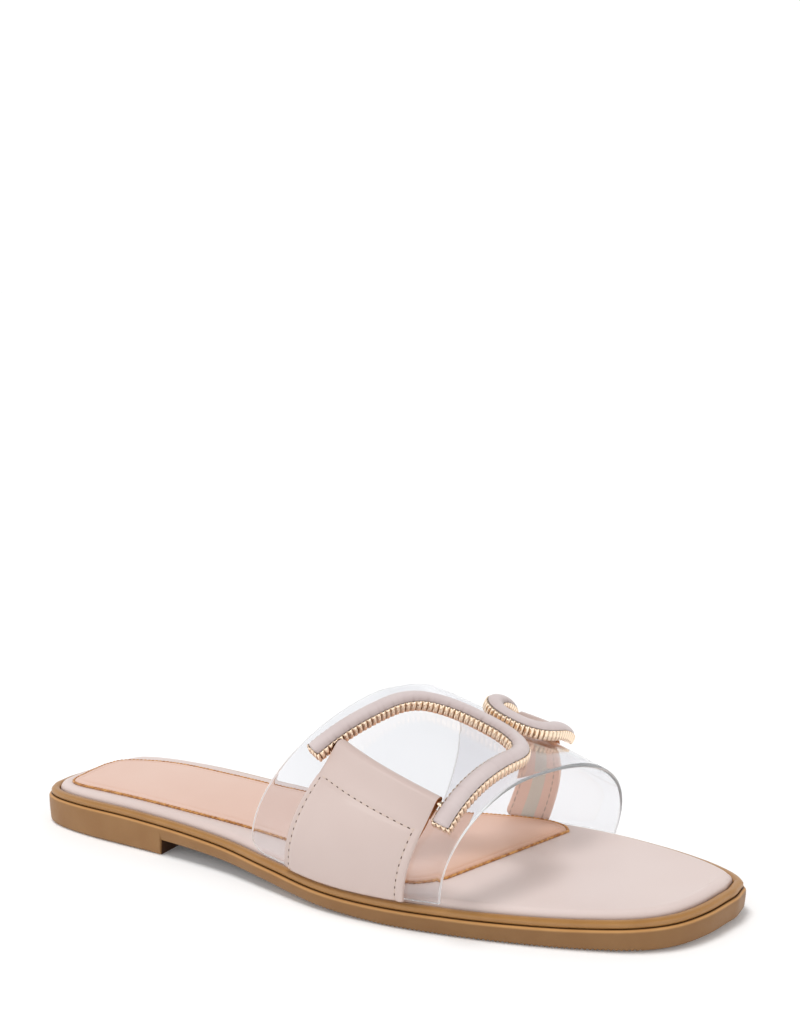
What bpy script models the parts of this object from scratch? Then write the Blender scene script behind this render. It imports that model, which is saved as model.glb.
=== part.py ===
"""Flat mule, right shoe: gum sole, clear vamp and two D-shaped ornamental buckles.

The toe points to +X, the inner (medial) side to +Y, and the floor is Z = 0.
Sizes are in millimetres, stations are measured from the back of the heel, and
`to_world` turns them to metres with the origin under the middle of the shoe.
"""
import bmesh
import bpy
import numpy as np

NAME = "flat_mule"
METRES = 0.001
GAP = 0.3

# Sole: pattern, heights and edge steps
SOLE_LENGTH = 262.4
CENTRE_Y = -0.10
BREAST_X = 63.0
BREAST_DRAFT = 0.4
BREAST_CLEARANCE = 1.6
STATIONS = 38

SOLE_PATTERN = (
    # station, lateral, medial
    (0.0, -13.0, -8.0),
    (1.0, -17.0, -1.0),
    (3.0, -20.5, 8.5),
    (6.0, -23.0, 19.0),
    (10.0, -25.0, 25.0),
    (17.0, -27.0, 28.5),
    (27.0, -28.7, 30.0),
    (52.0, -30.6, 30.1),
    (77.0, -32.5, 29.5),
    (92.0, -34.6, 29.9),
    (114.0, -40.3, 32.7),
    (137.0, -45.9, 38.6),
    (162.0, -46.9, 44.9),
    (185.0, -44.4, 47.6),
    (207.0, -39.8, 46.0),
    (227.0, -33.9, 40.9),
    (242.0, -27.4, 34.7),
    (252.0, -18.6, 28.9),
    (258.0, -6.9, 24.1),
    (261.0, 3.8, 20.4),
    (262.4, 11.0, 17.0),
)
BAND_TOP = (
    # station, height
    (0.0, 10.5),
    (47.0, 11.1),
    (82.0, 9.6),
    (112.0, 7.7),
    (142.0, 5.9),
    (182.0, 5.9),
    (217.0, 6.5),
    (262.4, 8.6),
)
UNDERSIDE = (
    # station, height of the arch and toe spring in front of the heel block
    (62.0, 5.5),
    (82.0, 4.8),
    (112.0, 3.1),
    (137.0, 1.1),
    (162.0, 0.0),
    (217.0, 0.0),
    (240.0, 0.35),
    (262.4, 1.3),
)
BOTTOM_CHAMFER = (1.6, 0.0)
WALL_FOOT = (0.6, 0.8)
BAND_SHOULDER = (0.0, -0.8)
BAND_RIM = (0.8, 0.0)

# Welt section: inset from the sole outline, height above the band
WELT_SECTION = (
    (1.9, GAP),
    (1.0, 0.9),
    (0.9, 1.5),
    (1.4, 2.1),
    (2.3, 2.4),
    (4.0, 2.4),
    (4.1, 1.4),
    (4.1, GAP),
)
WELT_TOP = 2.4

# Footbed edge: inset, height above the band
FOOTBED_SECTION = (
    (4.6, GAP),
    (4.5, 2.7),
    (4.8, 3.5),
    (5.5, 4.0),
    (6.6, 4.2),
)
FOOTBED_TOP = 4.2

PAD_THICKNESS = 0.9
PAD_ROUNDING = 0.5
PAD_PATTERN = (
    # lateral station, lateral, medial station, medial
    (10.0, -6.0, 10.0, 5.0),
    (13.0, -17.0, 14.0, 12.5),
    (32.0, -20.0, 32.0, 17.5),
    (62.0, -21.5, 62.0, 17.5),
    (97.0, -22.0, 97.0, 18.5),
    (127.0, -25.0, 132.0, 26.5),
    (150.0, -29.5, 157.0, 35.5),
    (163.0, -32.5, 180.0, 40.0),
    (169.0, -30.0, 190.0, 38.0),
    (174.0, -24.0, 193.5, 34.0),
)
PAD_STATIONS = 28

# Clear vamp: the outer face between its rear and front edges
VAMP_WALL = 1.2
VAMP_INSET = 3.0
VAMP_FOOT = 0.9
VAMP_ROWS = 14
VAMP_COLUMNS = 44
QUARTER_POINTS = 61
FINE_ROWS = 33
FINE_COLUMNS = 121
VAMP_EDGES = (
    # rear and front edge: lateral station, medial station, crest height, crest share of the width,
    # lateral power, medial power, lateral bulge, medial bulge, lean of the crest
    (104.8, 141.6, 64.4, 0.50, 1.84, 2.90, 5.7, 2.0, 16.0),
    (180.8, 208.8, 45.1, 0.38, 2.21, 2.41, 2.7, 1.0, 8.0),
)
GIRTH = 155.0

# Hardware on the vamp: shares of the girth run from that side's foot of the vamp,
# runs go from its rear edge to its front edge, bar_share is given at both edges,
# and stand_off lists shares with the buckle's distance from the vinyl
SIDES = {
    "lateral": {
        "tab_foot": (0.235, 0.845),
        "tab_fold": (0.235, 0.845),
        "bar_share": (0.305, 0.215),
        "axis_run": (0.543, 0.5345),
        "half_run": (0.37, 0.334),
        "nose_share": 0.53,
        "nose_depth": 0.112,
        "leg_reach": 7.2,
        "stand_off": ((0.16, 6.0), (0.22, 4.5), (0.30, 2.8), (0.40, 0.9), (0.52, 0.0)),
    },
    "medial": {
        "tab_foot": (0.35, 0.60),
        "tab_fold": (0.375, 0.605),
        "bar_share": (0.258, 0.258),
        "axis_run": (0.49, 0.56),
        "half_run": (0.185, 0.186),
        "nose_share": 0.395,
        "nose_depth": 0.075,
        "leg_reach": 2.2,
        "stand_off": ((0.20, 1.3), (0.25, 1.7), (0.31, 1.5), (0.40, 0.2)),
    },
}
TAB_THICKNESS = 1.5
FOLD_SKIN = 0.8
FOLD_RADIUS = 2.0
FOLD_RETURN = 1.0
FOLD_SWEEP = (115.0, -90.0)
FOLD_NECK = 9.5
TAIL_NECK = 8.5
NECK_CLEARANCE = 1.5
TAB_ROWS = 9
TAIL_POINTS = 8
FOLD_POINTS = 8
BAR_RADIUS = 0.9
BAR_SIDES = 8
BAR_ROWS = 9
FRAME_WIDTH = 7.0
FRAME_HEIGHT = 3.6
CHANNEL_WIDTH = 4.8
CHANNEL_FLOOR = 0.8
END_WALL = 1.0
NOSE_POWER = 2.5
NOSE_POINTS = 17
LEG_POINTS = 7
CORD_WIDTH = 4.2
CORD_HEIGHT = 3.8
CORD_BACK = 0.85
CORD_POINTS = 6
SHARP_ANGLE = 35.0

MATERIALS = {
    # colour, roughness, metallic, alpha
    "gum_rubber": ((0.36, 0.20, 0.09), 0.55, 0.0, 1.0),
    "welt_rubber": ((0.44, 0.25, 0.08), 0.45, 0.0, 1.0),
    "nude_leather": ((0.78, 0.66, 0.61), 0.40, 0.0, 1.0),
    "peach_leather": ((0.80, 0.56, 0.44), 0.45, 0.0, 1.0),
    "clear_vinyl": ((0.92, 0.94, 0.97), 0.05, 0.0, 0.25),
    "patent_leather": ((0.74, 0.61, 0.55), 0.12, 0.0, 1.0),
    "champagne_gold": ((0.83, 0.62, 0.40), 0.18, 1.0, 1.0),
    "padded_cord": ((0.66, 0.56, 0.54), 0.50, 0.0, 1.0),
}


def smooth(table, x, column=1):
    """Cubic curve through a table's rows, read at x."""
    rows = np.array(table)
    knots, values = rows[:, 0], rows[:, column]
    slopes = np.gradient(values, knots)
    i = np.clip(np.searchsorted(knots, x) - 1, 0, len(knots) - 2)
    step = knots[i + 1] - knots[i]
    t = np.clip((x - knots[i]) / step, 0.0, 1.0)
    start = values[i] * (1 + 2 * t) * (1 - t) ** 2 + slopes[i] * step * t * (1 - t) ** 2
    end = values[i + 1] * t ** 2 * (3 - 2 * t) - slopes[i + 1] * step * t ** 2 * (1 - t)
    return start + end


def station_angle(x):
    """Angle whose cosine runs evenly from heel to toe, so that both ends are round."""
    return np.arccos(np.clip(1 - 2 * x / SOLE_LENGTH, -1.0, 1.0))


def sole_side(x, column):
    """Distance of one side of the sole outline from the centre line."""
    rows = np.array(SOLE_PATTERN)
    rows[:, 0] = station_angle(rows[:, 0])
    return smooth(rows, station_angle(x), column)


def sole_stations():
    """Stations close together at heel and toe, with a pair at the heel's breast."""
    angle = np.linspace(0.0, np.pi, STATIONS)
    x = SOLE_LENGTH / 2 * (1 - np.cos(angle))
    x = x[np.abs(x - BREAST_X) > BREAST_CLEARANCE]
    return np.sort(np.append(x, [BREAST_X - BREAST_DRAFT, BREAST_X + BREAST_DRAFT]))


def inset_loop(loop, inset):
    """Closed outline moved inwards along its normals."""
    along = np.roll(loop, -1, axis=0) - np.roll(loop, 1, axis=0)
    along /= np.linalg.norm(along, axis=1)[:, None]
    inwards = np.stack([-along[:, 1], along[:, 0]], axis=1)
    return loop + inset * inwards


def sole_loop(inset):
    """Sole outline, lateral side to the toe and medial side back to the heel."""
    x = sole_stations()
    lateral = np.stack([x, sole_side(x, 1)], axis=1)
    medial = np.stack([x, sole_side(x, 2)], axis=1)
    return inset_loop(np.concatenate([lateral, medial[::-1]]), inset)


def band_top(x):
    """Height of the top of the outsole's band."""
    return smooth(BAND_TOP, x)


def underside(x):
    """Height of the sole's underside: heel block, arch, flat forefoot and toe spring."""
    return np.where(x < BREAST_X, 0.0, np.maximum(smooth(UNDERSIDE, x), 0.0))


def raised(loop, heights):
    """Outline with a height for each of its points."""
    return np.column_stack([loop, heights])


def edge_rings(section):
    """Rings that follow the band's top at each inset and height of a section."""
    stations = sole_loop(0.0)[:, 0]
    return [raised(sole_loop(inset), band_top(stations) + height) for inset, height in section]


def outsole_rings():
    """Outsole from its underside up to the flat top that carries the footbed."""
    stations = sole_loop(0.0)[:, 0]
    below = [
        raised(sole_loop(inset), underside(stations) + height)
        for inset, height in (BOTTOM_CHAMFER, WALL_FOOT)
    ]
    return below + edge_rings((BAND_SHOULDER, BAND_RIM))


def welt_rings():
    """One closed section of the bead strip for each point of the sole outline."""
    return list(np.stack(edge_rings(WELT_SECTION), axis=1))


def pad_rings():
    """Padded sock on the footbed, with its front edge slanting forward to the medial side."""
    rows = np.array(PAD_PATTERN)
    run = np.linspace(0.0, 1.0, len(rows))
    share = (1 - np.cos(np.linspace(0.0, np.pi, PAD_STATIONS))) / 2
    columns = [smooth(np.stack([run, rows[:, i]], axis=1), share) for i in range(4)]
    lateral = np.stack(columns[:2], axis=1)
    medial = np.stack(columns[2:], axis=1)
    loop = np.concatenate([lateral, medial[::-1]])
    top = FOOTBED_TOP + GAP + PAD_THICKNESS
    levels = ((0.0, FOOTBED_TOP + GAP), (0.0, top - PAD_ROUNDING), (PAD_ROUNDING, top))
    return [raised(inset_loop(loop, inset), band_top(loop[:, 0]) + z) for inset, z in levels]


def quarter(power, points):
    """Quarter of a superellipse from a vertical foot to a level crest."""
    angle = np.linspace(0.0, np.pi / 2, points)
    return 1 - np.cos(angle) ** (2 / power), np.sin(angle) ** (2 / power)


def vamp_section(run):
    """Arch of the vamp at a share of the way from its rear to its front edge."""
    points = QUARTER_POINTS
    rear, front = np.array(VAMP_EDGES)
    lateral_x, medial_x, crest, crest_share, *shape, lean = rear + (front - rear) * run
    lateral_power, medial_power, lateral_bulge, medial_bulge = shape
    feet = []
    for x, column, sign in ((lateral_x, 1, 1.0), (medial_x, 2, -1.0)):
        foot_z = band_top(x) + WELT_TOP + VAMP_FOOT
        feet.append(np.array([x, sole_side(x, column) + sign * VAMP_INSET, foot_z]))
    rise_out, rise_up = quarter(lateral_power, points)
    fall_out, fall_up = quarter(medial_power, points)
    across = np.append(crest_share * rise_out, 1 - (1 - crest_share) * fall_out[-2::-1])
    up = np.append(rise_up, fall_up[-2::-1])
    chord = feet[1] - feet[0]
    chord[2] = 0.0
    length = np.linalg.norm(chord)
    bulge = np.where(np.arange(len(up)) < points, -lateral_bulge, medial_bulge)
    across = across + bulge * 4 * up * (1 - up) / length
    arch = feet[0] + np.outer(across, chord)
    foot_z = feet[0][2] + (feet[1][2] - feet[0][2]) * np.clip(across, 0.0, 1.0)
    arch[:, 2] = foot_z + (crest - foot_z) * up
    arch[:, 0] += lean * up
    girth = np.append(0.0, np.cumsum(np.linalg.norm(np.diff(arch, axis=0), axis=1)))
    share = np.linspace(0.0, girth[-1], 2 * points - 1)
    return np.stack([np.interp(share, girth, arch[:, i]) for i in range(3)], axis=1)


def vamp_grid(rows, columns):
    """Outer face of the vamp, rear to front and lateral to medial."""
    sections = np.array([vamp_section(run) for run in np.linspace(0.0, 1.0, rows)])
    picked = np.linspace(0, sections.shape[1] - 1, columns)
    below = np.minimum(picked.astype(int), sections.shape[1] - 2)
    part = (picked - below)[None, :, None]
    return sections[:, below] * (1 - part) + sections[:, below + 1] * part


def grid_normals(grid):
    """Outward normals of a grid of points."""
    normals = np.cross(np.gradient(grid, axis=1), np.gradient(grid, axis=0))
    normals /= np.linalg.norm(normals, axis=2)[:, :, None]
    return -normals


FINE_FACE = vamp_grid(FINE_ROWS, FINE_COLUMNS)
FINE_NORMALS = grid_normals(FINE_FACE)


def read_grid(grid, girth_share, run):
    """Grid value between its points, at a share of the girth and of the run."""
    rows, columns = grid.shape[0] - 1, grid.shape[1] - 1
    j = np.clip(girth_share, 0.0, 1.0) * columns
    i = np.clip(run, 0.0, 1.0) * rows
    j0 = np.minimum(j.astype(int), columns - 1)
    i0 = np.minimum(i.astype(int), rows - 1)
    a = (j - j0)[:, None]
    b = (i - i0)[:, None]
    rear = grid[i0, j0] * (1 - a) + grid[i0, j0 + 1] * a
    front = grid[i0 + 1, j0] * (1 - a) + grid[i0 + 1, j0 + 1] * a
    return rear * (1 - b) + front * b


def over_vamp(side, share, run, lift):
    """Point over the vamp's outer face, by its share of the girth from one side's foot."""
    share, run, lift = np.broadcast_arrays(*(np.atleast_1d(v).astype(float) for v in (share, run, lift)))
    girth_share = share if side == "lateral" else 1 - share
    face = read_grid(FINE_FACE, girth_share, run)
    return face + lift[:, None] * read_grid(FINE_NORMALS, girth_share, run)


def stand_off(side, share):
    """Distance of a buckle from the vinyl."""
    return smooth(SIDES[side]["stand_off"], share)


def between(pair, share):
    """Value at a share of the way between two ends."""
    return pair[0] + (pair[1] - pair[0]) * share


def fold_profile(bar_share):
    """Tab section as paired outer and inner points: tail, fold round the bar and return."""
    lift = GAP + FOLD_RADIUS
    mm = 1 / GIRTH
    tail = np.linspace(0.0, 1.0, TAIL_POINTS)
    angle = np.radians(np.linspace(*FOLD_SWEEP, FOLD_POINTS))
    inner_radius = FOLD_RADIUS - FOLD_SKIN
    outer = [(bar_share - FOLD_NECK * mm) * tail, np.full(TAIL_POINTS, GAP + TAB_THICKNESS)]
    inner = [(bar_share - TAIL_NECK * mm) * tail, np.full(TAIL_POINTS, GAP)]
    for path, radius in ((outer, FOLD_RADIUS), (inner, inner_radius)):
        path[0] = np.append(path[0], bar_share + radius * mm * np.cos(angle))
        path[1] = np.append(path[1], lift + radius * np.sin(angle))
        path[0] = np.append(path[0], bar_share - FOLD_RETURN * mm)
        path[1] = np.append(path[1], lift - radius)
    share = np.append(outer[0], inner[0][::-1])
    return share, np.append(outer[1], inner[1][::-1])


def tab_rings(side):
    """Tab sections from its rear to its front edge."""
    size = SIDES[side]
    rings = []
    for across in np.linspace(0.0, 1.0, TAB_ROWS):
        foot = between(size["tab_foot"], across)
        fold = between(size["tab_fold"], across)
        bar_share = between(size["bar_share"], fold)
        share, lift = fold_profile(bar_share)
        neck_share = bar_share - (size["leg_reach"] + NECK_CLEARANCE) / GIRTH
        run = foot + (fold - foot) * np.clip(share / neck_share, 0.0, 1.0)
        away = stand_off(side, bar_share) * np.clip(share / bar_share, 0.0, 1.0) ** 2
        rings.append(over_vamp(side, share, run, lift + away))
    return rings


def frame_run(side, share, offset):
    """Run of a frame's point: its offset, -1 to 1, from an axis that slants from bar to nose."""
    size = SIDES[side]
    bar = between(size["bar_share"], size["axis_run"][0])
    step = (share - bar) / (size["nose_share"] - bar)
    return between(size["axis_run"], step) + offset * between(size["half_run"], step)


def frame_path(side):
    """Route of a buckle frame: rear leg, round nose and front leg, as shares and runs."""
    size = SIDES[side]
    angle = np.linspace(0.0, np.pi, NOSE_POINTS)
    nose_start = size["nose_share"] - size["nose_depth"]
    nose = nose_start + size["nose_depth"] * np.sin(angle) ** (2 / NOSE_POWER)
    nose_offset = -np.sign(np.cos(angle)) * np.abs(np.cos(angle)) ** (2 / NOSE_POWER)
    legs = []
    for end in (-1, 1):
        bar = between(size["bar_share"], size["axis_run"][0] + end * size["half_run"][0])
        legs.append(np.linspace(bar - size["leg_reach"] / GIRTH, nose_start, LEG_POINTS, endpoint=False))
    share = np.concatenate([legs[0], nose, legs[1][::-1]])
    offset = np.concatenate([np.full(LEG_POINTS, -1.0), nose_offset, np.full(LEG_POINTS, 1.0)])
    return share, frame_run(side, share, offset)


def box_profile(width, low, high):
    """Rectangle of offsets and lifts."""
    half = width / 2
    return (-half, high), (half, high), (half, low), (-half, low)


def frame_rings(side, profile, end_gap):
    """Sections along the frame's route from a profile of offsets and lifts."""
    share, run = frame_path(side)
    away = stand_off(side, share)
    middle = over_vamp(side, share, run, away)
    above = over_vamp(side, share, run, away + 1.0) - middle
    along = np.gradient(middle, axis=0)
    along /= np.linalg.norm(along, axis=1)[:, None]
    middle[0] += along[0] * end_gap
    middle[-1] -= along[-1] * end_gap
    across = np.cross(along, above)
    across /= np.linalg.norm(across, axis=1)[:, None]
    above = np.cross(across, along)
    return [
        np.array([m + offset * c + lift * a for offset, lift in profile])
        for m, c, a in zip(middle, across, above)
    ]


def cord_profile():
    """Rounded cord section: crown from left to right, then its flat back."""
    angle = np.linspace(np.pi, 0.0, CORD_POINTS)
    low = GAP + CHANNEL_FLOOR + GAP
    offset = CORD_WIDTH / 2 * np.cos(angle)
    crown = low + CORD_HEIGHT / 2 + CORD_HEIGHT / 2 * np.sin(angle)
    back = low + CORD_BACK * (1 - np.sin(angle))
    return list(zip(offset, crown)) + list(zip(offset, back))[::-1]


def bar_rings(side):
    """Round bar through the tab's fold, from the middle of one leg to the other."""
    size = SIDES[side]
    angle = np.linspace(0.0, 2 * np.pi, BAR_SIDES, endpoint=False)
    rings = []
    for across in np.linspace(-1.0, 1.0, BAR_ROWS):
        run = size["axis_run"][0] + size["half_run"][0] * across
        share = between(size["bar_share"], run) + BAR_RADIUS / GIRTH * np.cos(angle)
        lift = GAP + FOLD_RADIUS + BAR_RADIUS * np.sin(angle)
        rings.append(over_vamp(side, share, run, lift + stand_off(side, share)))
    return rings


def to_world(points):
    """Shoe sizes in millimetres to metres, with the origin under the middle."""
    return (np.asarray(points) - [SOLE_LENGTH / 2, CENTRE_Y, 0.0]) * METRES


def material(name):
    """Principled material from the table of finishes."""
    colour, roughness, metallic, alpha = MATERIALS[name]
    made = bpy.data.materials.get(name) or bpy.data.materials.new(name)
    made.use_nodes = True
    shader = made.node_tree.nodes["Principled BSDF"]
    shader.inputs["Base Color"].default_value = (*colour, 1.0)
    shader.inputs["Roughness"].default_value = roughness
    shader.inputs["Metallic"].default_value = metallic
    shader.inputs["Alpha"].default_value = alpha
    return made


def add_mesh(name, points, faces, collection, finish=None):
    """Mesh object with its faces pointing outwards."""
    mesh = bpy.data.meshes.new(name)
    mesh.from_pydata(to_world(points).tolist(), [], faces)
    shape = bmesh.new()
    shape.from_mesh(mesh)
    bmesh.ops.recalc_face_normals(shape, faces=shape.faces)
    shape.to_mesh(mesh)
    shape.free()
    mesh.shade_smooth()
    mesh.set_sharp_from_angle(angle=np.radians(SHARP_ANGLE))
    made = bpy.data.objects.new(name, mesh)
    collection.objects.link(made)
    if finish:
        mesh.materials.append(material(finish))
    return made


def loft(name, rings, collection, finish=None, endless=False):
    """Skin over rings of equal count; open ends close across each ring's paired points."""
    count = len(rings[0])
    rows = len(rings)
    faces = []
    for i in range(rows if endless else rows - 1):
        low, high = i * count, (i + 1) % rows * count
        for j in range(count):
            k = (j + 1) % count
            faces.append((low + j, low + k, high + k, high + j))
    if not endless:
        for first in (0, (rows - 1) * count):
            for j in range(count // 2 - 1):
                faces.append((first + j, first + j + 1, first + count - 2 - j, first + count - 1 - j))
    return add_mesh(name, np.concatenate(rings), faces, collection, finish)


def boolean(target, cutter, operation):
    """Live cut or union with a hidden helper."""
    step = target.modifiers.new(cutter.name, "BOOLEAN")
    step.operation = operation
    step.object = cutter
    cutter.hide_render = True
    cutter.display_type = "WIRE"


def add_vamp(collection):
    """Clear band over the instep: its outer face, thickened inwards."""
    grid = vamp_grid(VAMP_ROWS, VAMP_COLUMNS)
    index = np.arange(VAMP_ROWS * VAMP_COLUMNS).reshape(VAMP_ROWS, VAMP_COLUMNS)
    corners = (index[:-1, :-1], index[1:, :-1], index[1:, 1:], index[:-1, 1:])
    faces = np.stack([c.ravel() for c in corners], axis=1).tolist()
    vamp = add_mesh("vamp", grid.reshape(-1, 3), faces, collection, "clear_vinyl")
    wall = vamp.modifiers.new("wall", "SOLIDIFY")
    wall.thickness = VAMP_WALL * METRES
    wall.offset = -1.0
    wall.use_even_offset = True
    return vamp


def add_buckle(side, parts, cutters):
    """Tray frame on a bar, with the padded cord lying in its channel."""
    top = GAP + FRAME_HEIGHT
    tray = box_profile(FRAME_WIDTH, GAP, top)
    trench = box_profile(CHANNEL_WIDTH, GAP + CHANNEL_FLOOR, top + FRAME_HEIGHT)
    frame = loft(f"buckle_{side}", frame_rings(side, tray, 0.0), parts, "champagne_gold")
    bar = loft(f"bar_{side}", bar_rings(side), cutters)
    channel = loft(f"channel_{side}", frame_rings(side, trench, END_WALL), cutters)
    boolean(frame, bar, "UNION")
    boolean(frame, channel, "DIFFERENCE")
    cord = frame_rings(side, cord_profile(), END_WALL + GAP)
    loft(f"inlay_{side}", cord, parts, "padded_cord")


def build():
    """The whole shoe, one object a piece."""
    for old in list(bpy.data.objects):
        bpy.data.objects.remove(old)
    parts = bpy.data.collections.new(NAME)
    cutters = bpy.data.collections.new("cutters")
    for collection in (parts, cutters):
        bpy.context.scene.collection.children.link(collection)
    loft("outsole", outsole_rings(), parts, "gum_rubber")
    loft("welt", welt_rings(), parts, "welt_rubber", endless=True)
    loft("footbed", edge_rings(FOOTBED_SECTION), parts, "nude_leather")
    loft("insole_pad", pad_rings(), parts, "peach_leather")
    add_vamp(parts)
    for side in SIDES:
        loft(f"tab_{side}", tab_rings(side), parts, "patent_leather")
        add_buckle(side, parts, cutters)


build()
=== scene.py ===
# %% [markdown]
# # A flat mule with a clear vamp
# The shoe has a rubber sole with a bead round its top, a leather footbed with a padded sock,
# a band of clear vinyl over the foot and, on each side, a gold buckle held by a patent tab.
# Each visible piece is a surface worked out with numpy, in millimetres. The tables repeat the sizes
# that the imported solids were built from, so every piece lies where its solid is, and edges can be
# round, metal can be ribbed and seams can be sewn where the solids stay plain.

import bmesh
import bpy
import numpy as np
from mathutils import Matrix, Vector


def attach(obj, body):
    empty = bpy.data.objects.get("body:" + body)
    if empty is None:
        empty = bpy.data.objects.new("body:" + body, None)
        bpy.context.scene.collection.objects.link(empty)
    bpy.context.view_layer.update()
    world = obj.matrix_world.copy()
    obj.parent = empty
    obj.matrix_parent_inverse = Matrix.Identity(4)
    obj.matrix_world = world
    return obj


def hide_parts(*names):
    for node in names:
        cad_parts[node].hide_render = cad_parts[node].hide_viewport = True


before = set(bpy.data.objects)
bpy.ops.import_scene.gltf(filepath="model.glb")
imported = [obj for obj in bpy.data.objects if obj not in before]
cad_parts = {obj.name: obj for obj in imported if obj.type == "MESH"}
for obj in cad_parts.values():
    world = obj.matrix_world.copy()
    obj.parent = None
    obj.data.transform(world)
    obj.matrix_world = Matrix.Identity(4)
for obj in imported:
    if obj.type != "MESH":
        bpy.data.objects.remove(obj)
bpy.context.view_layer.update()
print("solids:", ", ".join(sorted(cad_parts)))

# %% [markdown]
# The camera stands a little above the shoe, in front of its outer side. It is pitched down and
# turned, but not rolled. Its lens is given as the length in millimetres on a 36 mm wide sensor.

# %% Camera
CAMERA_PLACE = (0.2508, -0.44834, 0.20305)
CAMERA_PITCH = 8.374
CAMERA_YAW = 27.94
CAMERA_LENS = 53.62

scene = bpy.context.scene
lens = bpy.data.cameras.new("camera")
lens.lens = CAMERA_LENS
camera = bpy.data.objects.new("camera", lens)
camera.location = CAMERA_PLACE
camera.rotation_euler = np.radians((90.0 - CAMERA_PITCH, 0.0, CAMERA_YAW))
scene.collection.objects.link(camera)
scene.camera = camera
print("camera at", CAMERA_PLACE)

# %% [markdown]
# Every finish is one Principled shader. Its steady values sit on the shader's own sockets, and
# only what changes over the surface, such as a mottled colour or a grain, comes from nodes.
# Object coordinates are metres here, so a noise of scale 1000 has features of about 1 mm.

# %% Helpers for finishes
def screen(red, green, blue):
    """Colour as on a screen, 0 to 255, turned to the linear light values that shaders use."""
    part = np.array([red, green, blue]) / 255.0
    linear = np.where(part <= 0.04045, part / 12.92, ((part + 0.055) / 1.055) ** 2.4)
    return (*linear.tolist(), 1.0)


def grey(light):
    """Colour without a tint, as a linear light value."""
    return (light, light, light, 1.0)


def new_finish(name, colour, roughness, sockets=None):
    """Material with a Principled shader and some of its sockets set."""
    made = bpy.data.materials.new(name)
    made.use_nodes = True
    shader = made.node_tree.nodes["Principled BSDF"]
    values = {"Base Color": colour, "Roughness": roughness, **(sockets or {})}
    for socket, value in values.items():
        shader.inputs[socket].default_value = value
    return made


def add_node(finish, kind, **inputs):
    """New node whose inputs are set to values or joined to other nodes' outputs."""
    made = finish.node_tree.nodes.new(kind)
    for name, value in inputs.items():
        socket = made.inputs[name.replace("_", " ")]
        if isinstance(value, bpy.types.NodeSocket):
            finish.node_tree.links.new(value, socket)
        else:
            socket.default_value = value
    return made


def join(finish, output, socket):
    """Output of a node joined to a socket of the finish's shader."""
    shader = finish.node_tree.nodes["Principled BSDF"]
    finish.node_tree.links.new(output, shader.inputs[socket])


def noise(finish, scale, detail=3.0, stretch=(1.0, 1.0, 1.0), source="Object"):
    """Cloudy pattern, scale features a metre, on the object's or the UV map's coordinates."""
    coordinates = add_node(finish, "ShaderNodeTexCoord").outputs[source]
    placed = add_node(finish, "ShaderNodeMapping", Vector=coordinates, Scale=stretch)
    made = add_node(
        finish, "ShaderNodeTexNoise", Vector=placed.outputs["Vector"], Scale=scale, Detail=detail
    )
    return made.outputs["Fac"]


def ramp(finish, pattern, stops):
    """Colours along a pattern, each stop a place from 0 to 1 and a colour."""
    made = add_node(finish, "ShaderNodeValToRGB", Fac=pattern)
    elements = made.color_ramp.elements
    for element, (place, colour) in zip(elements, stops):
        element.position = place
        element.color = colour
    return made.outputs["Color"]


def span(finish, pattern, low, high):
    """Pattern from 0 to 1 spread over a range of values."""
    made = add_node(finish, "ShaderNodeMapRange", Value=pattern, To_Min=low, To_Max=high)
    return made.outputs["Result"]


def darken(finish, colour, dark):
    """Base colour that turns to a dark one where the points of the piece carry painted shade."""
    shade = add_node(finish, "ShaderNodeAttribute")
    shade.attribute_name = "shade"
    made = add_node(finish, "ShaderNodeMixRGB", Fac=shade.outputs["Fac"], Color1=colour, Color2=dark)
    join(finish, made.outputs["Color"], "Base Color")


def emboss(finish, pattern, depth, strength=1.0):
    """Fine relief, depth metres high, from a pattern."""
    made = add_node(finish, "ShaderNodeBump", Height=pattern, Distance=depth, Strength=strength)
    join(finish, made.outputs["Normal"], "Normal")


# %% [markdown]
# A product studio is mostly white: a pale floor, bright walls and soft lamps. The surround is white
# at eye level and darker overhead, because gold, patent leather and vinyl only look like themselves
# with both light and dark to reflect. A sun with a wide disc is the key light. It lights the floor
# evenly as far as the camera sees. Its disc would show as a white blot in the vinyl, so it is kept
# out of reflections and of the view through the film. Two softboxes, one on the shoe's outer side
# and one beyond its toe, add the highlights.

# %% Studio
WALL_LIGHT = 1.04
CEILING_LIGHT = 0.25
WALL_END = 0.45
CEILING_START = 0.75
SUN_PLACE = (0.0, 0.0, 2.0)
SUN_ANGLES = (12.0, 0.0, -62.0)
SUN_DISC = 24.0
SUN_STRENGTH = 1.74
FLOOR_SIZE = 60.0
SOFTBOXES = (
    # name, place, size, watts
    ("front", (-0.46, -0.87, 0.77), 0.45, 1.1),
    ("side", (1.00, -0.35, 0.60), 0.25, 0.8),
)


def add_lamp(name, kind, energy, place, turn, **shape):
    """Lamp of a kind at a place, turned, with its size or disc set."""
    light = bpy.data.lights.new(name, kind)
    light.energy = energy
    for key, value in shape.items():
        setattr(light, key, value)
    lamp = bpy.data.objects.new(name, light)
    lamp.location = place
    lamp.rotation_euler = turn
    scene.collection.objects.link(lamp)
    return lamp


world = bpy.data.worlds.new("surround")
world.use_nodes = True
direction = add_node(world, "ShaderNodeTexCoord").outputs["Generated"]
climb = add_node(world, "ShaderNodeSeparateXYZ", Vector=direction).outputs["Z"]
sky = ramp(world, climb, ((WALL_END, grey(WALL_LIGHT)), (CEILING_START, grey(CEILING_LIGHT))))
world.node_tree.links.new(sky, world.node_tree.nodes["Background"].inputs["Color"])
scene.world = world
scene.view_settings.view_transform = "Standard"

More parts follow.
